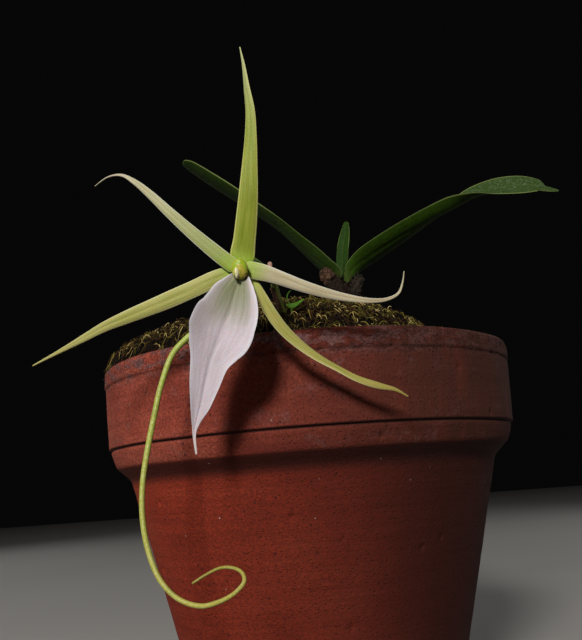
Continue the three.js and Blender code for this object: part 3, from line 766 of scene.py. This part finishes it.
def pot():
    """The pot: its outline turned round the axis, uneven by soft noise, with pits and a worn rim."""
    outside, inside = pot_outlines()
    heights = [pit[1] for pit in PITS] + [GROOVE_HEIGHT, LIP_LINE, POT_HEIGHT - 1, BAND_FOOT]
    rows = along_outline(outside, OUTSIDE_ROWS, heights, 1.6, 2.2)
    rows = np.vstack([rows, along_outline(inside, INSIDE_ROWS)[1:]])[1:-1]
    turn = np.radians(crowded(-180, 180, POT_SPOKES + 1, [pit[0] for pit in PITS], 1.1, 3.5)[:-1])[None, :]
    radius, height = rows[:, :1], rows[:, 1:]
    outer = (np.arange(len(rows)) < OUTSIDE_ROWS - 1)[:, None] * 1.0
    around = points_at(radius * np.cos(turn), radius * np.sin(turn), height)
    high = np.clip((height - 10) / 20, 0, 1)
    turning = 0.1 * noise(around * (0.15, 0.15, 1), 3.2, 2)
    wobble = 0.3 * noise(around, 30, 1) + turning + 0.05 * noise(around, 4, 3)
    flakes = np.clip(noise(around * (1, 1, 1.5), 4.5, 4) * 3, -1, 0) * bell(height - (POT_HEIGHT - 3.2), 3.4)
    change = high * (wobble + 0.16 * flakes * outer)
    for place, pit_height, size, depth in PITS:
        offset = (np.degrees(turn) - place + 180) % 360 - 180
        distance = np.hypot(np.radians(offset) * radius, height - pit_height)
        ragged = size * (1 + 0.35 * noise(around, 1.1, 5))
        change = change - outer * depth * bell(distance, ragged)
    chipped = np.clip(noise(around, 7, 6) - 0.45, 0, 1) * bell(height - POT_HEIGHT, 1.2) * outer
    radius = np.maximum(radius + change - 0.9 * chipped, 0.5)
    level = height + high * (0.18 * noise(around * (1, 1, 0.01), 16, 7) - 0.5 * chipped)
    return skin(points_at(radius * np.cos(turn), radius * np.sin(turn), level))


def drain_drill():
    """Three rods that cut the drain holes."""
    drills = []
    for hole in range(DRAIN_HOLES):
        turn = 2 * np.pi * (hole + 0.5) / DRAIN_HOLES
        side = 2 * np.pi * np.arange(48) / 48
        x = DRAIN_CIRCLE_RADIUS * np.cos(turn) + DRAIN_RADIUS * np.cos(side)
        y = DRAIN_CIRCLE_RADIUS * np.sin(turn) + DRAIN_RADIUS * np.sin(side)
        drills.append(skin(np.stack([points_at(x, y, z) for z in (-5, 3 * FLOOR_THICKNESS)])))
    return joined(*drills)


def drill_holes(body, drill):
    """Takes the drill out of the body and leaves it as one plain mesh."""
    cutter = mesh_object("drill", *drill[:2])
    cut = body.modifiers.new("drain_holes", "BOOLEAN")
    cut.operation, cut.object, cut.solver = "DIFFERENCE", cutter, "MANIFOLD"
    graph = bpy.context.evaluated_depsgraph_get()
    finished = bpy.data.meshes.new_from_object(body.evaluated_get(graph))
    body.modifiers.clear()
    body.data = finished
    bpy.data.objects.remove(cutter)


# Moss


def moss_edge(turn):
    """The radius of the moss's edge, which lies further out at the left."""
    return MOSS_RADIUS + MOSS_SPILL * ((1 - np.cos(turn)) / 2) ** 3


def moss_share(x, y):
    """How far out a place lies, 1 at the moss's edge."""
    return np.hypot(x, y) / moss_edge(np.arctan2(y, x))


def moss_top(x, y):
    """The mound's height: a dome (1 - reach^belly)^k on the rim's height, with soft lumps of sines."""
    cosine = np.cos(np.arctan2(y, x))
    reach = np.minimum(1, moss_share(x, y) * (1 + MOSS_RIGHT_FALL * ((1 + cosine) / 2) ** 3))
    dome = MOSS_HEIGHT * (1 - reach ** (MOSS_BELLY + 0.5 * cosine)) ** (MOSS_FULLNESS + 0.08 * cosine)
    broad = np.sin(0.3 * x + 1.3 * np.sin(0.17 * y)) * np.cos(0.26 * y + 0.8)
    small = np.sin(0.63 * x + 2) * np.sin(0.58 * y + 1)
    return POT_HEIGHT + MOSS_EDGE_HEIGHT + dome + 0.9 * broad + 0.6 * small


def moss_mound():
    """The mound as rings from its top out to its edge, and back under it to the growing medium."""
    turn = 2 * np.pi * np.arange(300)[None, :] / 300
    share = np.sqrt(np.linspace(0.0004, 1, 100))[:, None]
    edge = moss_edge(turn)
    x, y = share * edge * np.cos(turn), share * edge * np.sin(turn)
    flat = points_at(x, y, 0 * x)
    tufts = 0.9 * noise(flat, 3.1, 11) + 0.6 * noise(flat, 1.5, 12)
    upper = points_at(x, y, moss_top(x, y) - MAT_DEPTH + tufts * (1 - share**12))
    wheel = points_at(np.cos(turn), np.sin(turn), 0 * turn)[0]
    resting = np.minimum(edge, MOUTH_RADIUS - CLEAR).T
    under = [wheel * radius + (0, 0, height + CLEAR) for radius, height in (
        (edge.T, POT_HEIGHT), (resting, POT_HEIGHT), (MOUTH_RADIUS - 3.2, MEDIUM_TOP), (8, MEDIUM_TOP),
    )]
    return skin(np.concatenate([upper, np.stack(under)]))


STRAND_POINTS = 5
OVERHANG_FALL = 40


class Draws:
    """Random values for each of count threads, as a column, in the order in which they are asked for."""

    def __init__(self, seed, count):
        self.source = np.random.default_rng(seed)
        self.count = count

    def even(self, low, high):
        return self.source.uniform(low, high, self.count)[:, None]

    def bell(self, middle, spread):
        return self.source.normal(middle, spread, self.count)[:, None]


def strands(count, length, thickness, rise, tint, seed, left_only=0.0):
    """Curly strands that lie on the mound: straight runs in the plane with a bend and a wave, lifted from the
    mound's height by rise times sin(pi s) and by a free end that stands up on some of them."""
    draw = Draws(seed, count)
    turn = draw.even(-np.pi, np.pi)
    turn = np.where(draw.even(0, 1) < left_only, np.pi + draw.bell(0, 0.45), turn)
    out = np.sqrt(draw.even(0, 1))
    out = np.where(draw.even(0, 1) < left_only, draw.even(0.72, 1), out) * moss_edge(turn)
    heading = draw.even(0, 2 * np.pi)
    s = np.linspace(0, 1, STRAND_POINTS)[None, :]
    run = draw.even(*length) / STRAND_POINTS
    bend = draw.bell(0, 0.8)
    wave = draw.bell(0, 0.25) * np.sin(2 * np.pi * s + draw.even(0, 6))
    angle = heading + bend * s + wave
    east, north = np.cumsum(np.cos(angle) * run, axis=1), np.cumsum(np.sin(angle) * run, axis=1)
    x = out * np.cos(turn) + east - east.mean(axis=1, keepdims=True)
    y = out * np.sin(turn) + north - north.mean(axis=1, keepdims=True)
    base = moss_top(x, y) - MAT_DEPTH - OVERHANG_FALL * np.maximum(moss_share(x, y) - 1, 0)
    free = (draw.even(0, 1) < 0.16) * draw.even(0.5, 2.6) * s**2
    lift = draw.even(-0.5, 0.9) + rise * draw.even(0.2, 1) * np.sin(np.pi * s)
    z = base + lift + free
    radial = np.hypot(x, y)
    on_rim = (radial > MOUTH_RADIUS - 1) & (radial < RIM_RADIUS + 0.6)
    z = np.where(on_rim, np.maximum(z, POT_HEIGHT + 0.25), z)
    size = draw.even(*thickness) / 2 * (1 - 0.55 * s**2)
    rightness = 1 - np.clip(-(x.mean(axis=1, keepdims=True) + 20) / 55, 0, 1)
    shade = draw.bell(0, 0.24) + tint[0] + (tint[1] - tint[0]) * rightness
    return threads(points_at(x, y, z), size, np.clip(shade, 0, 1))


# Plant


STEM_AT = 18.3
STEM_OVAL = (5.3, 3.4)
STEM = [
    [18.2, 0, MEDIUM_TOP + CLEAR, 4.6], [18.2, 0, 145, 4.8], [18.2, 0, 160, 5.2], [18.3, 0, 167, 5.6],
    [18.4, 0, 171, 5.2],
]
FLOWER_STALK = [
    [16, -5.2, 152, 1.4], [11, -18, 149, 1.4], [4, -36, 146.5, 1.4], [-2.4, -52, 144, 1.3],
    [-5, -58.6, 145.4, 1.2], [-6.2, -60.2, 149, 1.2], [-7.2, -60.6, 153, 1.15], [-7.9, -60.2, 156.5, 1],
    [-8.4, -59.6, 159.7, 0.85], [-8.8, -58.8, 162.3, 0.7], [-8.9, -58, 164.6, 0.65],
]
OVARY = [
    [-8.2, -61.5, 156.6, 0.8], [-8.8, -65, 157.6, 0.9], [-10.2, -71, 158.4, 1.1], [-11.6, -77, 158.3, 1.2],
    [-13, -83, 157.4, 1.4], [-14.4, -88.5, 155.2, 1.7],
]
LEAF_LEFT = [
    [15.6, -0.9, 171.6, 3.6, 46], [15.2, -1.3, 174.6, 7.2, 53], [12.2, 0, 178, 9.4, 66],
    [7.3, 3.6, 183.9, 11.8, 73], [1.2, 7, 191.5, LEAF_WIDTH, 77], [-6.8, 11, 201.4, LEAF_WIDTH, 80],
    [-16, 15, 210.8, LEAF_WIDTH, 80], [-26.4, 18, 220.5, LEAF_WIDTH, 80], [-37, 21, 229.8, 11.8, 80],
    [-44.2, 23, 236.2, 10.2, 78], [-48.9, 24.2, 240, 5.6, 76],
]
LEAF_RIGHT = [
    [19.3, -4.2, 169.9, 1.6, -10], [20.4, -4.6, 172.8, 3.8, -20], [21.8, -4.4, 175.2, 6.4, -35],
    [24, -4, 177.2, 9, -48], [27.6, -3.7, 179.6, 11.4, -56], [33.9, -4, 183.2, LEAF_WIDTH, -58],
    [43, -6, 187.8, LEAF_WIDTH, -62], [53.7, -8, 193, LEAF_WIDTH, -73], [63.4, -10, 197.8, LEAF_WIDTH, -94],
    [71.4, -12, 200.3, LEAF_WIDTH, -119], [80.4, -13.5, 201.1, 12.5, -139], [90, -14.5, 201, 11, -149],
    [96.6, -15, 200.1, 7.6, -150], [98.9, -15.1, 198.9, 3.8, -150], [101.4, -15.3, 198.1, 2.8, -150],
    [104.4, -15.5, 197.3, 0.9, -150],
]
LEAF_CENTRE = [
    [18.2, 0.6, 171.7, 4, 20], [18.3, 1, 176, 4.7, 20], [18.7, 1.5, 180.4, 5, 20], [19.4, 2, 185.7, 5, 20],
    [20.3, 2.5, 190.1, 4.6, 20], [21.3, 3, 194.6, 3.5, 20], [21.9, 3.5, 198.3, 1.8, 20],
]
SHEATH_LEFT = [
    [16.2, -4.6, 163.2, 4.2], [15.6, -5.1, 166.4, 5.2], [14.1, -6, 169.8, 6.2], [11.8, -7.3, 172.6, 6.6],
    [9.7, -8.4, 175.2, 5.8],
]
SHEATH_RIGHT = [
    [20.9, -4.4, 162.8, 4.2], [21.9, -4.9, 165.4, 5], [23.5, -5.8, 168.9, 5.2], [25.1, -6.8, 172.2, 3.8],
]
BRACT = [[-6.9, -61.6, 147.3, 1.8], [-7.6, -61.9, 150.2, 2.2], [-8.4, -61.9, 152.9, 2], [-9, -61.7, 155, 1]]
SPRIG_FOOT = [[-2.6, -58.6, 142.5, 0.15], [-2.8, -60, 145.6, 0.15], [-2.9, -60.6, 148.6, 0.25]]
SPRIG_LEAFLETS = [
    [[-4.5, -60.8, 149.3, 0.6], [-3.6, -60.9, 148.8, 1.4], [-2.3, -60.9, 148.7, 1.8],
     [-0.9, -60.7, 149.3, 1.2], [0.4, -60.4, 150.1, 0.8], [1.4, -60.2, 150.8, 0.5]],
    [[-3.3, -60.8, 149, 0.4], [-4, -61, 151, 0.4], [-3.6, -61, 152.8, 0.4], [-2.5, -60.8, 153.9, 0.3]],
]

# Pieces of the flower, in its own frame
SEPAL_TOP = [
    [0.4, 0.4, SEPAL_PLANE, 6.4], [0.8, 4, SEPAL_PLANE, 6.8], [1.6, 7.6, -1.6, 6.2], [2.8, 13.9, -0.6, 5.8],
    [3.8, 20.3, 0.2, 5.2], [4.7, 27.8, 0, 4.3], [5.4, 35.6, -1.5, 3.5, 10], [5.7, 43.6, -3.5, 2.9, 25],
    [5.1, 51.1, -5.5, 2.3, 45], [4.6, 58.6, -7, 1.6, 45], [4, 64, -8, 0.8, 45],
]
SEPAL_LEFT = [
    [-0.8, -0.2, SEPAL_PLANE, 3], [-4.2, -1.3, SEPAL_PLANE, 4.2], [-7.4, -2.3, SEPAL_PLANE, 4.7],
    [-13.2, -4.4, -2.4, 4.7], [-20.1, -6.7, -3.4, 4.7], [-26.3, -8.6, -4.5, 4.3], [-33.2, -10.6, -6, 3.7],
    [-39.9, -12.7, -7.5, 2.9], [-46.8, -15.6, -9, 2.1], [-54.2, -18.8, -10, 1.5], [-62.1, -22.1, -11, 0.8],
]
SEPAL_RIGHT = [
    [0.6, -0.3, SEPAL_PLANE, 2.6], [3.4, -4.6, SEPAL_PLANE, 2.7], [5.2, -8.2, SEPAL_PLANE, 3],
    [7, -12, -2.2, 3.2], [10.3, -17.2, -3, 3.2, 15], [14.6, -21.8, -4, 3.1, 30], [19.3, -25.7, -5, 3, 45],
    [24.6, -29.2, -6, 2.7, 55], [29.9, -32.5, -6.5, 2.3, 45], [35.6, -34.9, -7, 2, 25],
    [40.2, -36.4, -7.5, 1.4, 10], [43.6, -38.6, -8, 0.8],
]
PETAL_LEFT = [
    [-0.7, -0.3, -0.5, 4], [-4.7, 3.3, -0.65, 4.1], [-8.7, 7.1, -1.5, 3.9], [-13.8, 12.2, -2.5, 3.4],
    [-18.9, 17.6, -4, 2.9], [-24.1, 23.3, -6, 2.3], [-28.5, 27.6, -8, 1.6], [-32.9, 30.6, -10.5, 0.85],
    [-37.6, 30.9, -13, 0.55], [-41.9, 29.1, -15, 0.35],
]
PETAL_RIGHT = [
    [0.6, -0.1, -0.5, 5], [5.9, -1.6, -0.6, 4.6], [10.5, -3.4, -1.3, 3.9], [15.8, -5.7, -2.4, 3.4],
    [21.7, -7.9, -4, 2.9], [28.2, -9.8, -6, 2.2], [35.1, -11.1, -8, 1.5], [40.1, -11, -10, 1.1],
    [43.7, -9.4, -11.5, 0.8], [45.1, -6.6, -12, 0.65], [45.8, -3.2, -11.5, 0.45],
]
LIP = [
    [-0.1, -1.2, 0, 4], [-0.4, -3, 0.6, 6.2], [-0.9, -4.7, 1.2, 8.8], [-1.7, -6.9, 2, 11.8],
    [-3.2, -11.5, 3, 15.6], [-4.8, -14.7, 3.4, 17], [-6.2, -17.9, 3.4, 16.9], [-8, -21.2, 3, 14],
    [-9.6, -24.8, 2.4, 10.4], [-11.5, -30.7, 1.5, 8], [-13.1, -36, 0.8, 5.4], [-14.6, -40.2, 0.5, 2.8],
    [-15.4, -43.6, 0.5, 1.3], [-15.1, -49, 1.5, 0.8],
]
SPUR = [
    [-0.6, -4.4, -0.9, 1.5], [-0.9, -5.2, -2.6, 1.35], [-2.5, -7.5, -6, 1.15], [-6.5, -10.5, -9, 1],
    [-12, -14, -10.3, 0.95], [-17.5, -17.9, -9.5, 0.9], [-21.3, -21.8, -8.3, 0.85],
    [-24.7, -30.3, -5.8, 0.8], [-26.8, -38.9, -3.3, 0.8], [-28.6, -47.3, -0.8, 0.8],
    [-29.9, -55.5, 1.7, 0.75], [-30, -63.7, 4.1, 0.75], [-28.6, -71.6, 6.5, 0.75], [-25.4, -78.8, 9.3, 0.7],
    [-20.7, -83.1, 11.6, 0.65], [-14.9, -84.7, 13.4, 0.65], [-10.1, -83.6, 14.7, 0.6],
    [-6.1, -81.6, 15.4, 0.55], [-3.5, -79.1, 15, 0.55], [-3.8, -77.5, 13.7, 0.5], [-5.5, -76.5, 12.5, 0.45],
    [-9.2, -76.4, 10.9, 0.4], [-13.3, -78.1, 9.7, 0.35], [-17.4, -80.4, 9.1, 0.3],
]
COLUMN = [[0, -0.1, -0.4, 1.9], [0.05, -0.4, 1.4, 2], [0.15, -0.7, 2.8, 2.1], [0.2, -0.85, 3.8, 1.85]]
ANTHER_CAP = [
    [-0.85, -1.65, 2.8, 0.6], [-0.87, -1.7, 3.4, 0.85], [-0.9, -1.8, 4, 0.75], [-0.9, -1.8, 4.5, 0.4],
]


def in_flower(shape):
    """A shape from the flower's frame in the pot's."""
    points, faces, layers = shape
    return points @ FLOWER_AXES + FLOWER_AT, faces, layers


def keeled(depth, keel_width, wave=0.0, fold=0.0):
    """A relief with a channel down the front and a keel behind, and margins that wave gently twice. fold is
    how deep a V the blade makes near the middle of its length: fold (0.75 - |side|^1.5), fading by a bell."""
    def relief(along, side, front):
        ridge = -depth * bell(side, keel_width) * np.sin(np.pi * np.clip(along * 1.05, 0, 1)) ** 0.5
        sway = wave * np.sin(2 * np.pi * 2 * along + 1.5 * side) * np.abs(side) ** 3
        return ridge + sway + fold * bell(along - 0.55, 0.09) * (0.75 - np.abs(side) ** 1.5)
    return relief


def crumpled(depth, seed):
    """A relief of soft dents, the same on both faces."""
    def relief(along, side, front):
        place = points_at(along * 9, side * 2.4, 0)
        return depth * noise(place, 1.0, seed) + depth / 2 * noise(place, 0.45, seed + 1)
    return relief


def torn(depth, seed):
    """Margins that are ragged by noise."""
    def trim(along, side):
        place = points_at(along * 14, side, 0)
        return 1 - depth * np.clip(noise(place, 0.7, seed) + 0.3 * along, 0, 1)
    return trim


def lip_relief(along, side, front):
    """The lip's middle channel, three low folds in its throat and softly waved margins."""
    channel = -0.45 * bell(side, 0.1) * np.clip(along * 6, 0, 1) * np.clip((1 - along) * 3, 0, 1)
    throat = np.clip(1 - along / 0.3, 0, 1)
    folds = 0.4 * throat * (bell(side, 0.12) + bell(side - 0.34, 0.1) + bell(side + 0.34, 0.1))
    margin = 0.5 * np.sin(15 * along + 2 * side) * np.abs(side) ** 4 * np.sin(np.pi * np.clip(along, 0, 1))
    return channel + folds + margin


def stem_ribs(along, turn):
    """Old leaf bases: long ribs round the stem, and steps where one base ends over the next."""
    ribs = 0.28 * np.sin(9 * turn + 3 * along) + 0.16 * np.sin(23 * turn - 5 * along)
    steps = 0.35 * ((along * 5 + 0.5 * np.cos(turn)) % 1)
    return (ribs + steps - 0.5) * np.clip(along * 4, 0, 1)


def stem_fibres(count, seed):
    """Loose fibres on the old leaf bases: from the moss up the stem's oval, splaying out at their tops."""
    draw = Draws(seed, count)
    turn = draw.even(0, 2 * np.pi)
    s = np.linspace(0, 1, 6)[None, :]
    foot = draw.even(157, 165)
    rise = draw.even(4, 11)
    splay = 0.3 + draw.even(0, 2.2) * s**2
    turn = turn + draw.bell(0, 0.25) * s
    x, y = STEM_AT + (STEM_OVAL[0] + splay) * np.cos(turn), (STEM_OVAL[1] + splay) * np.sin(turn)
    radius = draw.even(0.1, 0.24) * (1 - 0.6 * s)
    return threads(points_at(x, y, foot + rise * s), radius, np.clip(draw.bell(0.3, 0.25), 0, 1))


def stalk_ribs(along, turn):
    """Low ribs along the flower stalk, and rings round it."""
    return 0.08 * np.sin(7 * turn + 6 * along) + 0.05 * np.sin(40 * along)


def ovary_ribs(along, turn):
    """Six low ribs that wind once round, stronger towards the flower."""
    return 0.1 * np.cos(6 * turn + 4 * along) * np.clip(along * 1.5, 0, 1)


def cap_form(along, turn):
    """A shallow furrow down the right side."""
    return -0.2 * bell(np.cos(turn) - 0.5, 0.3) * np.clip(along * 3, 0, 1)


def column_form(along, turn):
    """A hood with an arched rim above, two low wings beside it and a hollow between them."""
    above = np.clip(-np.sin(turn), 0, 1)
    rim = 0.28 * bell(along - 0.8, 0.09) * (0.4 + above)
    return 0.2 * np.abs(np.cos(turn)) ** 3 * np.clip(along * 2, 0, 1) + rim


def dress():
    """Every piece of the plant and its pot."""
    drill_holes(add_piece("pot_clay", pot(), fired_clay(), "clay", "pot"), drain_drill())
    bpy.data.objects["growing_medium"].data.materials[0] = bark_medium().material

    strand = moss_strand()
    olive = strands(7000, (2.5, 7), (0.26, 0.42), 1.1, (0.1, 0.28), 21)
    gold = strands(5500, (2, 6), (0.3, 0.46), 2, (0.5, 0.7), 22, left_only=0.14)
    add_piece("moss_mat", moss_mound(), moss_gap_shade(), "moss", "moss")
    add_piece("moss_strands_olive", olive, strand, "moss", "moss")
    add_piece("moss_strands_gold", gold, strand, "moss", "moss")

    stem = rod(STEM, (0, 1, 0), 120, 96, 0.62, stem_ribs)
    add_piece("stem_wraps", stem, old_wraps(), "old_sheath", "stem")
    add_piece("stem_fibres", stem_fibres(420, 31), fibre(), "old_sheath")

    left_skin = leaf_skin("leaf_skin", "1a2a04", "293f09", "2e460f", "7e8c50")
    right_skin = leaf_skin("leaf_skin_velvet", "223504", "33500b", "3b5024", "7e8c50")
    young_skin = leaf_skin("young_leaf_skin", "173002", "244403", "2a490a", "7d9648", 0.2)
    paper = torn_sheath("papery_sheath", "1c0e08", "4a3122", "80614a", 0.8)
    pale = torn_sheath("bract_paper", "3a2118", "6e4a3a", "957060", 0)
    grey = torn_sheath("grey_sheath", "0a0705", "1e1811", "443929", 0.5)
    form = dict(face=TOWARDS_VIEWER, thickness=LEAF_THICKNESS, cup=-0.15, rows=220, section=26, edge=4)
    left = blade(LEAF_LEFT, relief=keeled(0.3, 0.12, 0.2), **form)
    right = blade(LEAF_RIGHT, relief=keeled(0.3, 0.12, 0.1, 3), **form)
    centre = blade(LEAF_CENTRE, TOWARDS_VIEWER, 0.8, 0.2, 100, 22, 4, relief=keeled(0.15, 0.2))
    dry = dict(face=TOWARDS_VIEWER, thickness=0.5, rows=100, section=24, edge=8)
    torn_left = blade(SHEATH_LEFT, cup=-0.3, relief=crumpled(0.55, 41), trim=torn(0.25, 42), **dry)
    torn_right = blade(SHEATH_RIGHT, cup=-0.25, relief=crumpled(0.4, 43), trim=torn(0.35, 44), **dry)
    bract = blade(BRACT, (-0.8, -0.6, 0), 0.4, -0.45, 60, 18, 8, 0, crumpled(0.15, 45), torn(0.3, 46))
    add_piece("leaf_left_skin", left, left_skin, "leaf", "leaf_left")
    add_piece("leaf_right_skin", right, right_skin, "leaf", "leaf_right")
    add_piece("leaf_centre_skin", centre, young_skin, "young_leaf", "leaf_centre")
    add_piece("papery_end", torn_left, paper, "paper_sheath", "sheath_left")
    add_piece("fibrous_end", torn_right, grey, "grey_sheath", "sheath_right")

    stalk = rod(FLOWER_STALK, (1, 0, 0), 160, 32, relief=stalk_ribs)
    stalk_green = stalk_skin("stalk_skin", "535f22", "82883c", "63402b", 0.86)
    add_piece("stalk_rod", stalk, stalk_green, "stalk", "flower_stalk")
    add_piece("bract_paper", bract, pale, "paper_sheath", "bract")

    small = dict(face=TOWARDS_VIEWER, thickness=0.4, cup=-0.2, rows=36, section=12, tip=0.4)
    leaflets = [blade(line, relief=keeled(0.1, 0.2), **small) for line in SPRIG_LEAFLETS]
    shoot = joined(rod(SPRIG_FOOT, (1, 0, 0), 20, 12), *leaflets)
    sprig_green = tepal_skin("sprig_skin", "4f8a12", "68a322", "86ba40", "42700f", 0.3, 0.1)
    add_piece("sprig_leaflets", shoot, sprig_green, "sprig", "sprig")


def dress_flower():
    """Every piece of the flower. The ovary's line ends behind the flower's hub."""
    hub = [[*(np.array([0, 0, depth]) @ FLOWER_AXES + FLOWER_AT), radius]
           for depth, radius in ((HUB_FACE - 2.4, 1.9), (HUB_FACE - 1, 2.2), (HUB_FACE, HUB_RADIUS))]
    ovary = rod([*OVARY, *hub], (1, 0, 0), 140, 36, relief=ovary_ribs)
    ovary_green = stalk_skin("ovary_skin", "6c9a24", "8fbf3c", "86a83a")
    add_piece("ovary_ribbed", ovary, ovary_green, "ovary", "ovary")

    form = dict(face=FLOWER_FRONT, thickness=TEPAL_THICKNESS, cup=-0.15, tip=0.5)
    for name, line, relief, skin_name, *colours in (
        ("sepal_top", SEPAL_TOP, (0.18, 0.16, 0.1),
         "sepal_upper_skin", "7c8c14", "929c2c", "d2d07c", "82a818", 0.12, 0.05, "d0d2a4"),
        ("sepal_left", SEPAL_LEFT, (0.18, 0.16, 0.08),
         "sepal_skin", "9ea04c", "b0ae60", "dfd9a4", "8fa538", 0.25, 0.05, "c4ba78"),
        ("sepal_right", SEPAL_RIGHT, (0.15, 0.16, 0.08),
         "sepal_right_skin", "a6a44c", "b9b262", "e4dca0", "b4b668", 0.25, 0.05, "957c34"),
        ("petal_left", PETAL_LEFT, (0.15, 0.18, 0.08),
         "petal_left_skin", "b7ac86", "c8bfa0", "f7f2e4", "8c9a42", 0.85, 0.05, "e2d6c4"),
        ("petal_right", PETAL_RIGHT, (0.15, 0.18, 0.08),
         "petal_skin", "c2b48e", "d6caa8", "f6efe0", "a2ad58", 0.17),
    ):
        tepal = in_flower(blade(line, relief=keeled(*relief), **form))
        add_piece(f"{name}_blade", tepal, tepal_skin(skin_name, *colours), name.split("_")[0], name)

    lip = blade(LIP, FLOWER_FRONT, TEPAL_THICKNESS, 0.32, 200, 44, 10, 0.4, lip_relief)
    column = rod(COLUMN, (0, 1, 0), 80, 60, 1.35, column_form)
    cap = rod(ANTHER_CAP, (0, 1, 0), 36, 40, 1.8, cap_form)
    add_piece("lip_boat", in_flower(lip), lip_skin(), "lip", "lip")
    add_piece("spur_tube", in_flower(rod(SPUR, FLOWER_FRONT, 420, 20)), spur_skin(), "spur", "spur")
    add_piece("column_body", in_flower(column), column_skin(), "column", "column")
    add_piece("anther_lobes", in_flower(cap), cap_skin(), "anther_cap", "anther_cap")


# Camera, floor and light

FRAME_HEIGHT = 640
FOCAL_PIXELS = 731.5
SENSOR = 36
CAMERA_AT = (0, -287.9, 94.3)
CAMERA_YAW, CAMERA_PITCH, CAMERA_ROLL = np.radians([-0.83, 12.36, -4.25])
FLOOR_HALF = 2500
SURROUND = 0.002


def stand(thing, at, right, up, back):
    """Puts a camera or lamp at a place in millimetres, with these directions as its own axes."""
    turned = Matrix(np.stack([right, up, back]).T.tolist()).to_4x4()
    thing.matrix_world = Matrix.Translation([part * MILLIMETRE for part in at]) @ turned


def place_camera():
    """The photograph's view: from in front of the pot and a little below its rim, looking up."""
    yaw, pitch, roll = CAMERA_YAW, CAMERA_PITCH, CAMERA_ROLL
    forward = np.array([np.sin(yaw) * np.cos(pitch), np.cos(yaw) * np.cos(pitch), np.sin(pitch)])
    level = np.array([np.cos(yaw), -np.sin(yaw), 0])
    upright = np.cross(level, forward)
    right = level * np.cos(roll) + upright * np.sin(roll)
    up = upright * np.cos(roll) - level * np.sin(roll)
    data = bpy.data.cameras.new("camera")
    data.sensor_width = SENSOR
    data.lens = FOCAL_PIXELS / FRAME_HEIGHT * SENSOR
    data.clip_start = 0.01
    camera = new_object("camera", data)
    stand(camera, CAMERA_AT, right, up, -forward)
    bpy.context.scene.camera = camera


def add_light(name, at, towards, size, watts, colour):
    """A soft square lamp that looks towards a point."""
    data = bpy.data.lights.new(name, "AREA")
    data.shape = "SQUARE"
    data.size = size * MILLIMETRE
    data.energy = watts
    data.color = colour
    lamp = new_object(name, data)
    back = unit(np.array(at, float) - np.array(towards, float))
    right = unit(np.cross((0, 0, 1), back))
    stand(lamp, at, right, np.cross(back, right), back)
    lamp.visible_camera = False


def add_floor():
    """A plain pale floor, which throws no light back on the pot."""
    corners = [(-1, -1, 0), (1, -1, 0), (1, 1, 0), (-1, 1, 0)]
    floor = mesh_object("floor", FLOOR_HALF * np.array(corners), [np.array([[0, 1, 2, 3]])])
    pale = Finish("pale_floor", specular=0.2)
    pale.paint(pale.ramp(pale.clouds(900, pale.place(), 2), (0.3, "b9b6b2"), (0.7, "c6c3bf")), 0.85)
    floor.data.materials.append(pale.material)
    floor.visible_diffuse = False


def light_scene():
    """One soft key light from the upper left in front, weaker fills at both sides, two dim lamps behind,
    and a nearly black surround."""
    for name, at, size, watts, colour in (
        ("key", (-224, -1074, 600), 200, 11.6, (1, 0.97, 0.93)),
        ("fill_left", (-1000, -450, 420), 600, 1.5, (1, 0.97, 0.94)),
        ("fill_right", (900, -700, 350), 700, 0.4, (0.95, 0.96, 1)),
        ("back_left", (-800, 900, 700), 700, 1.4, (1, 1, 1)),
        ("back_right", (900, 700, 600), 700, 1.4, (1, 1, 1)),
    ):
        add_light(name, at, (0, -20, 120), size, watts, colour)
    world = bpy.data.worlds.new("surround")
    world.use_nodes = True
    background = world.node_tree.nodes["Background"]
    background.inputs["Color"].default_value = (SURROUND, SURROUND, SURROUND, 1)
    background.inputs["Strength"].default_value = 1
    bpy.context.scene.world = world


dress()
dress_flower()
place_camera()
add_floor()
light_scene()
bpy.context.scene.view_settings.view_transform = "Standard"
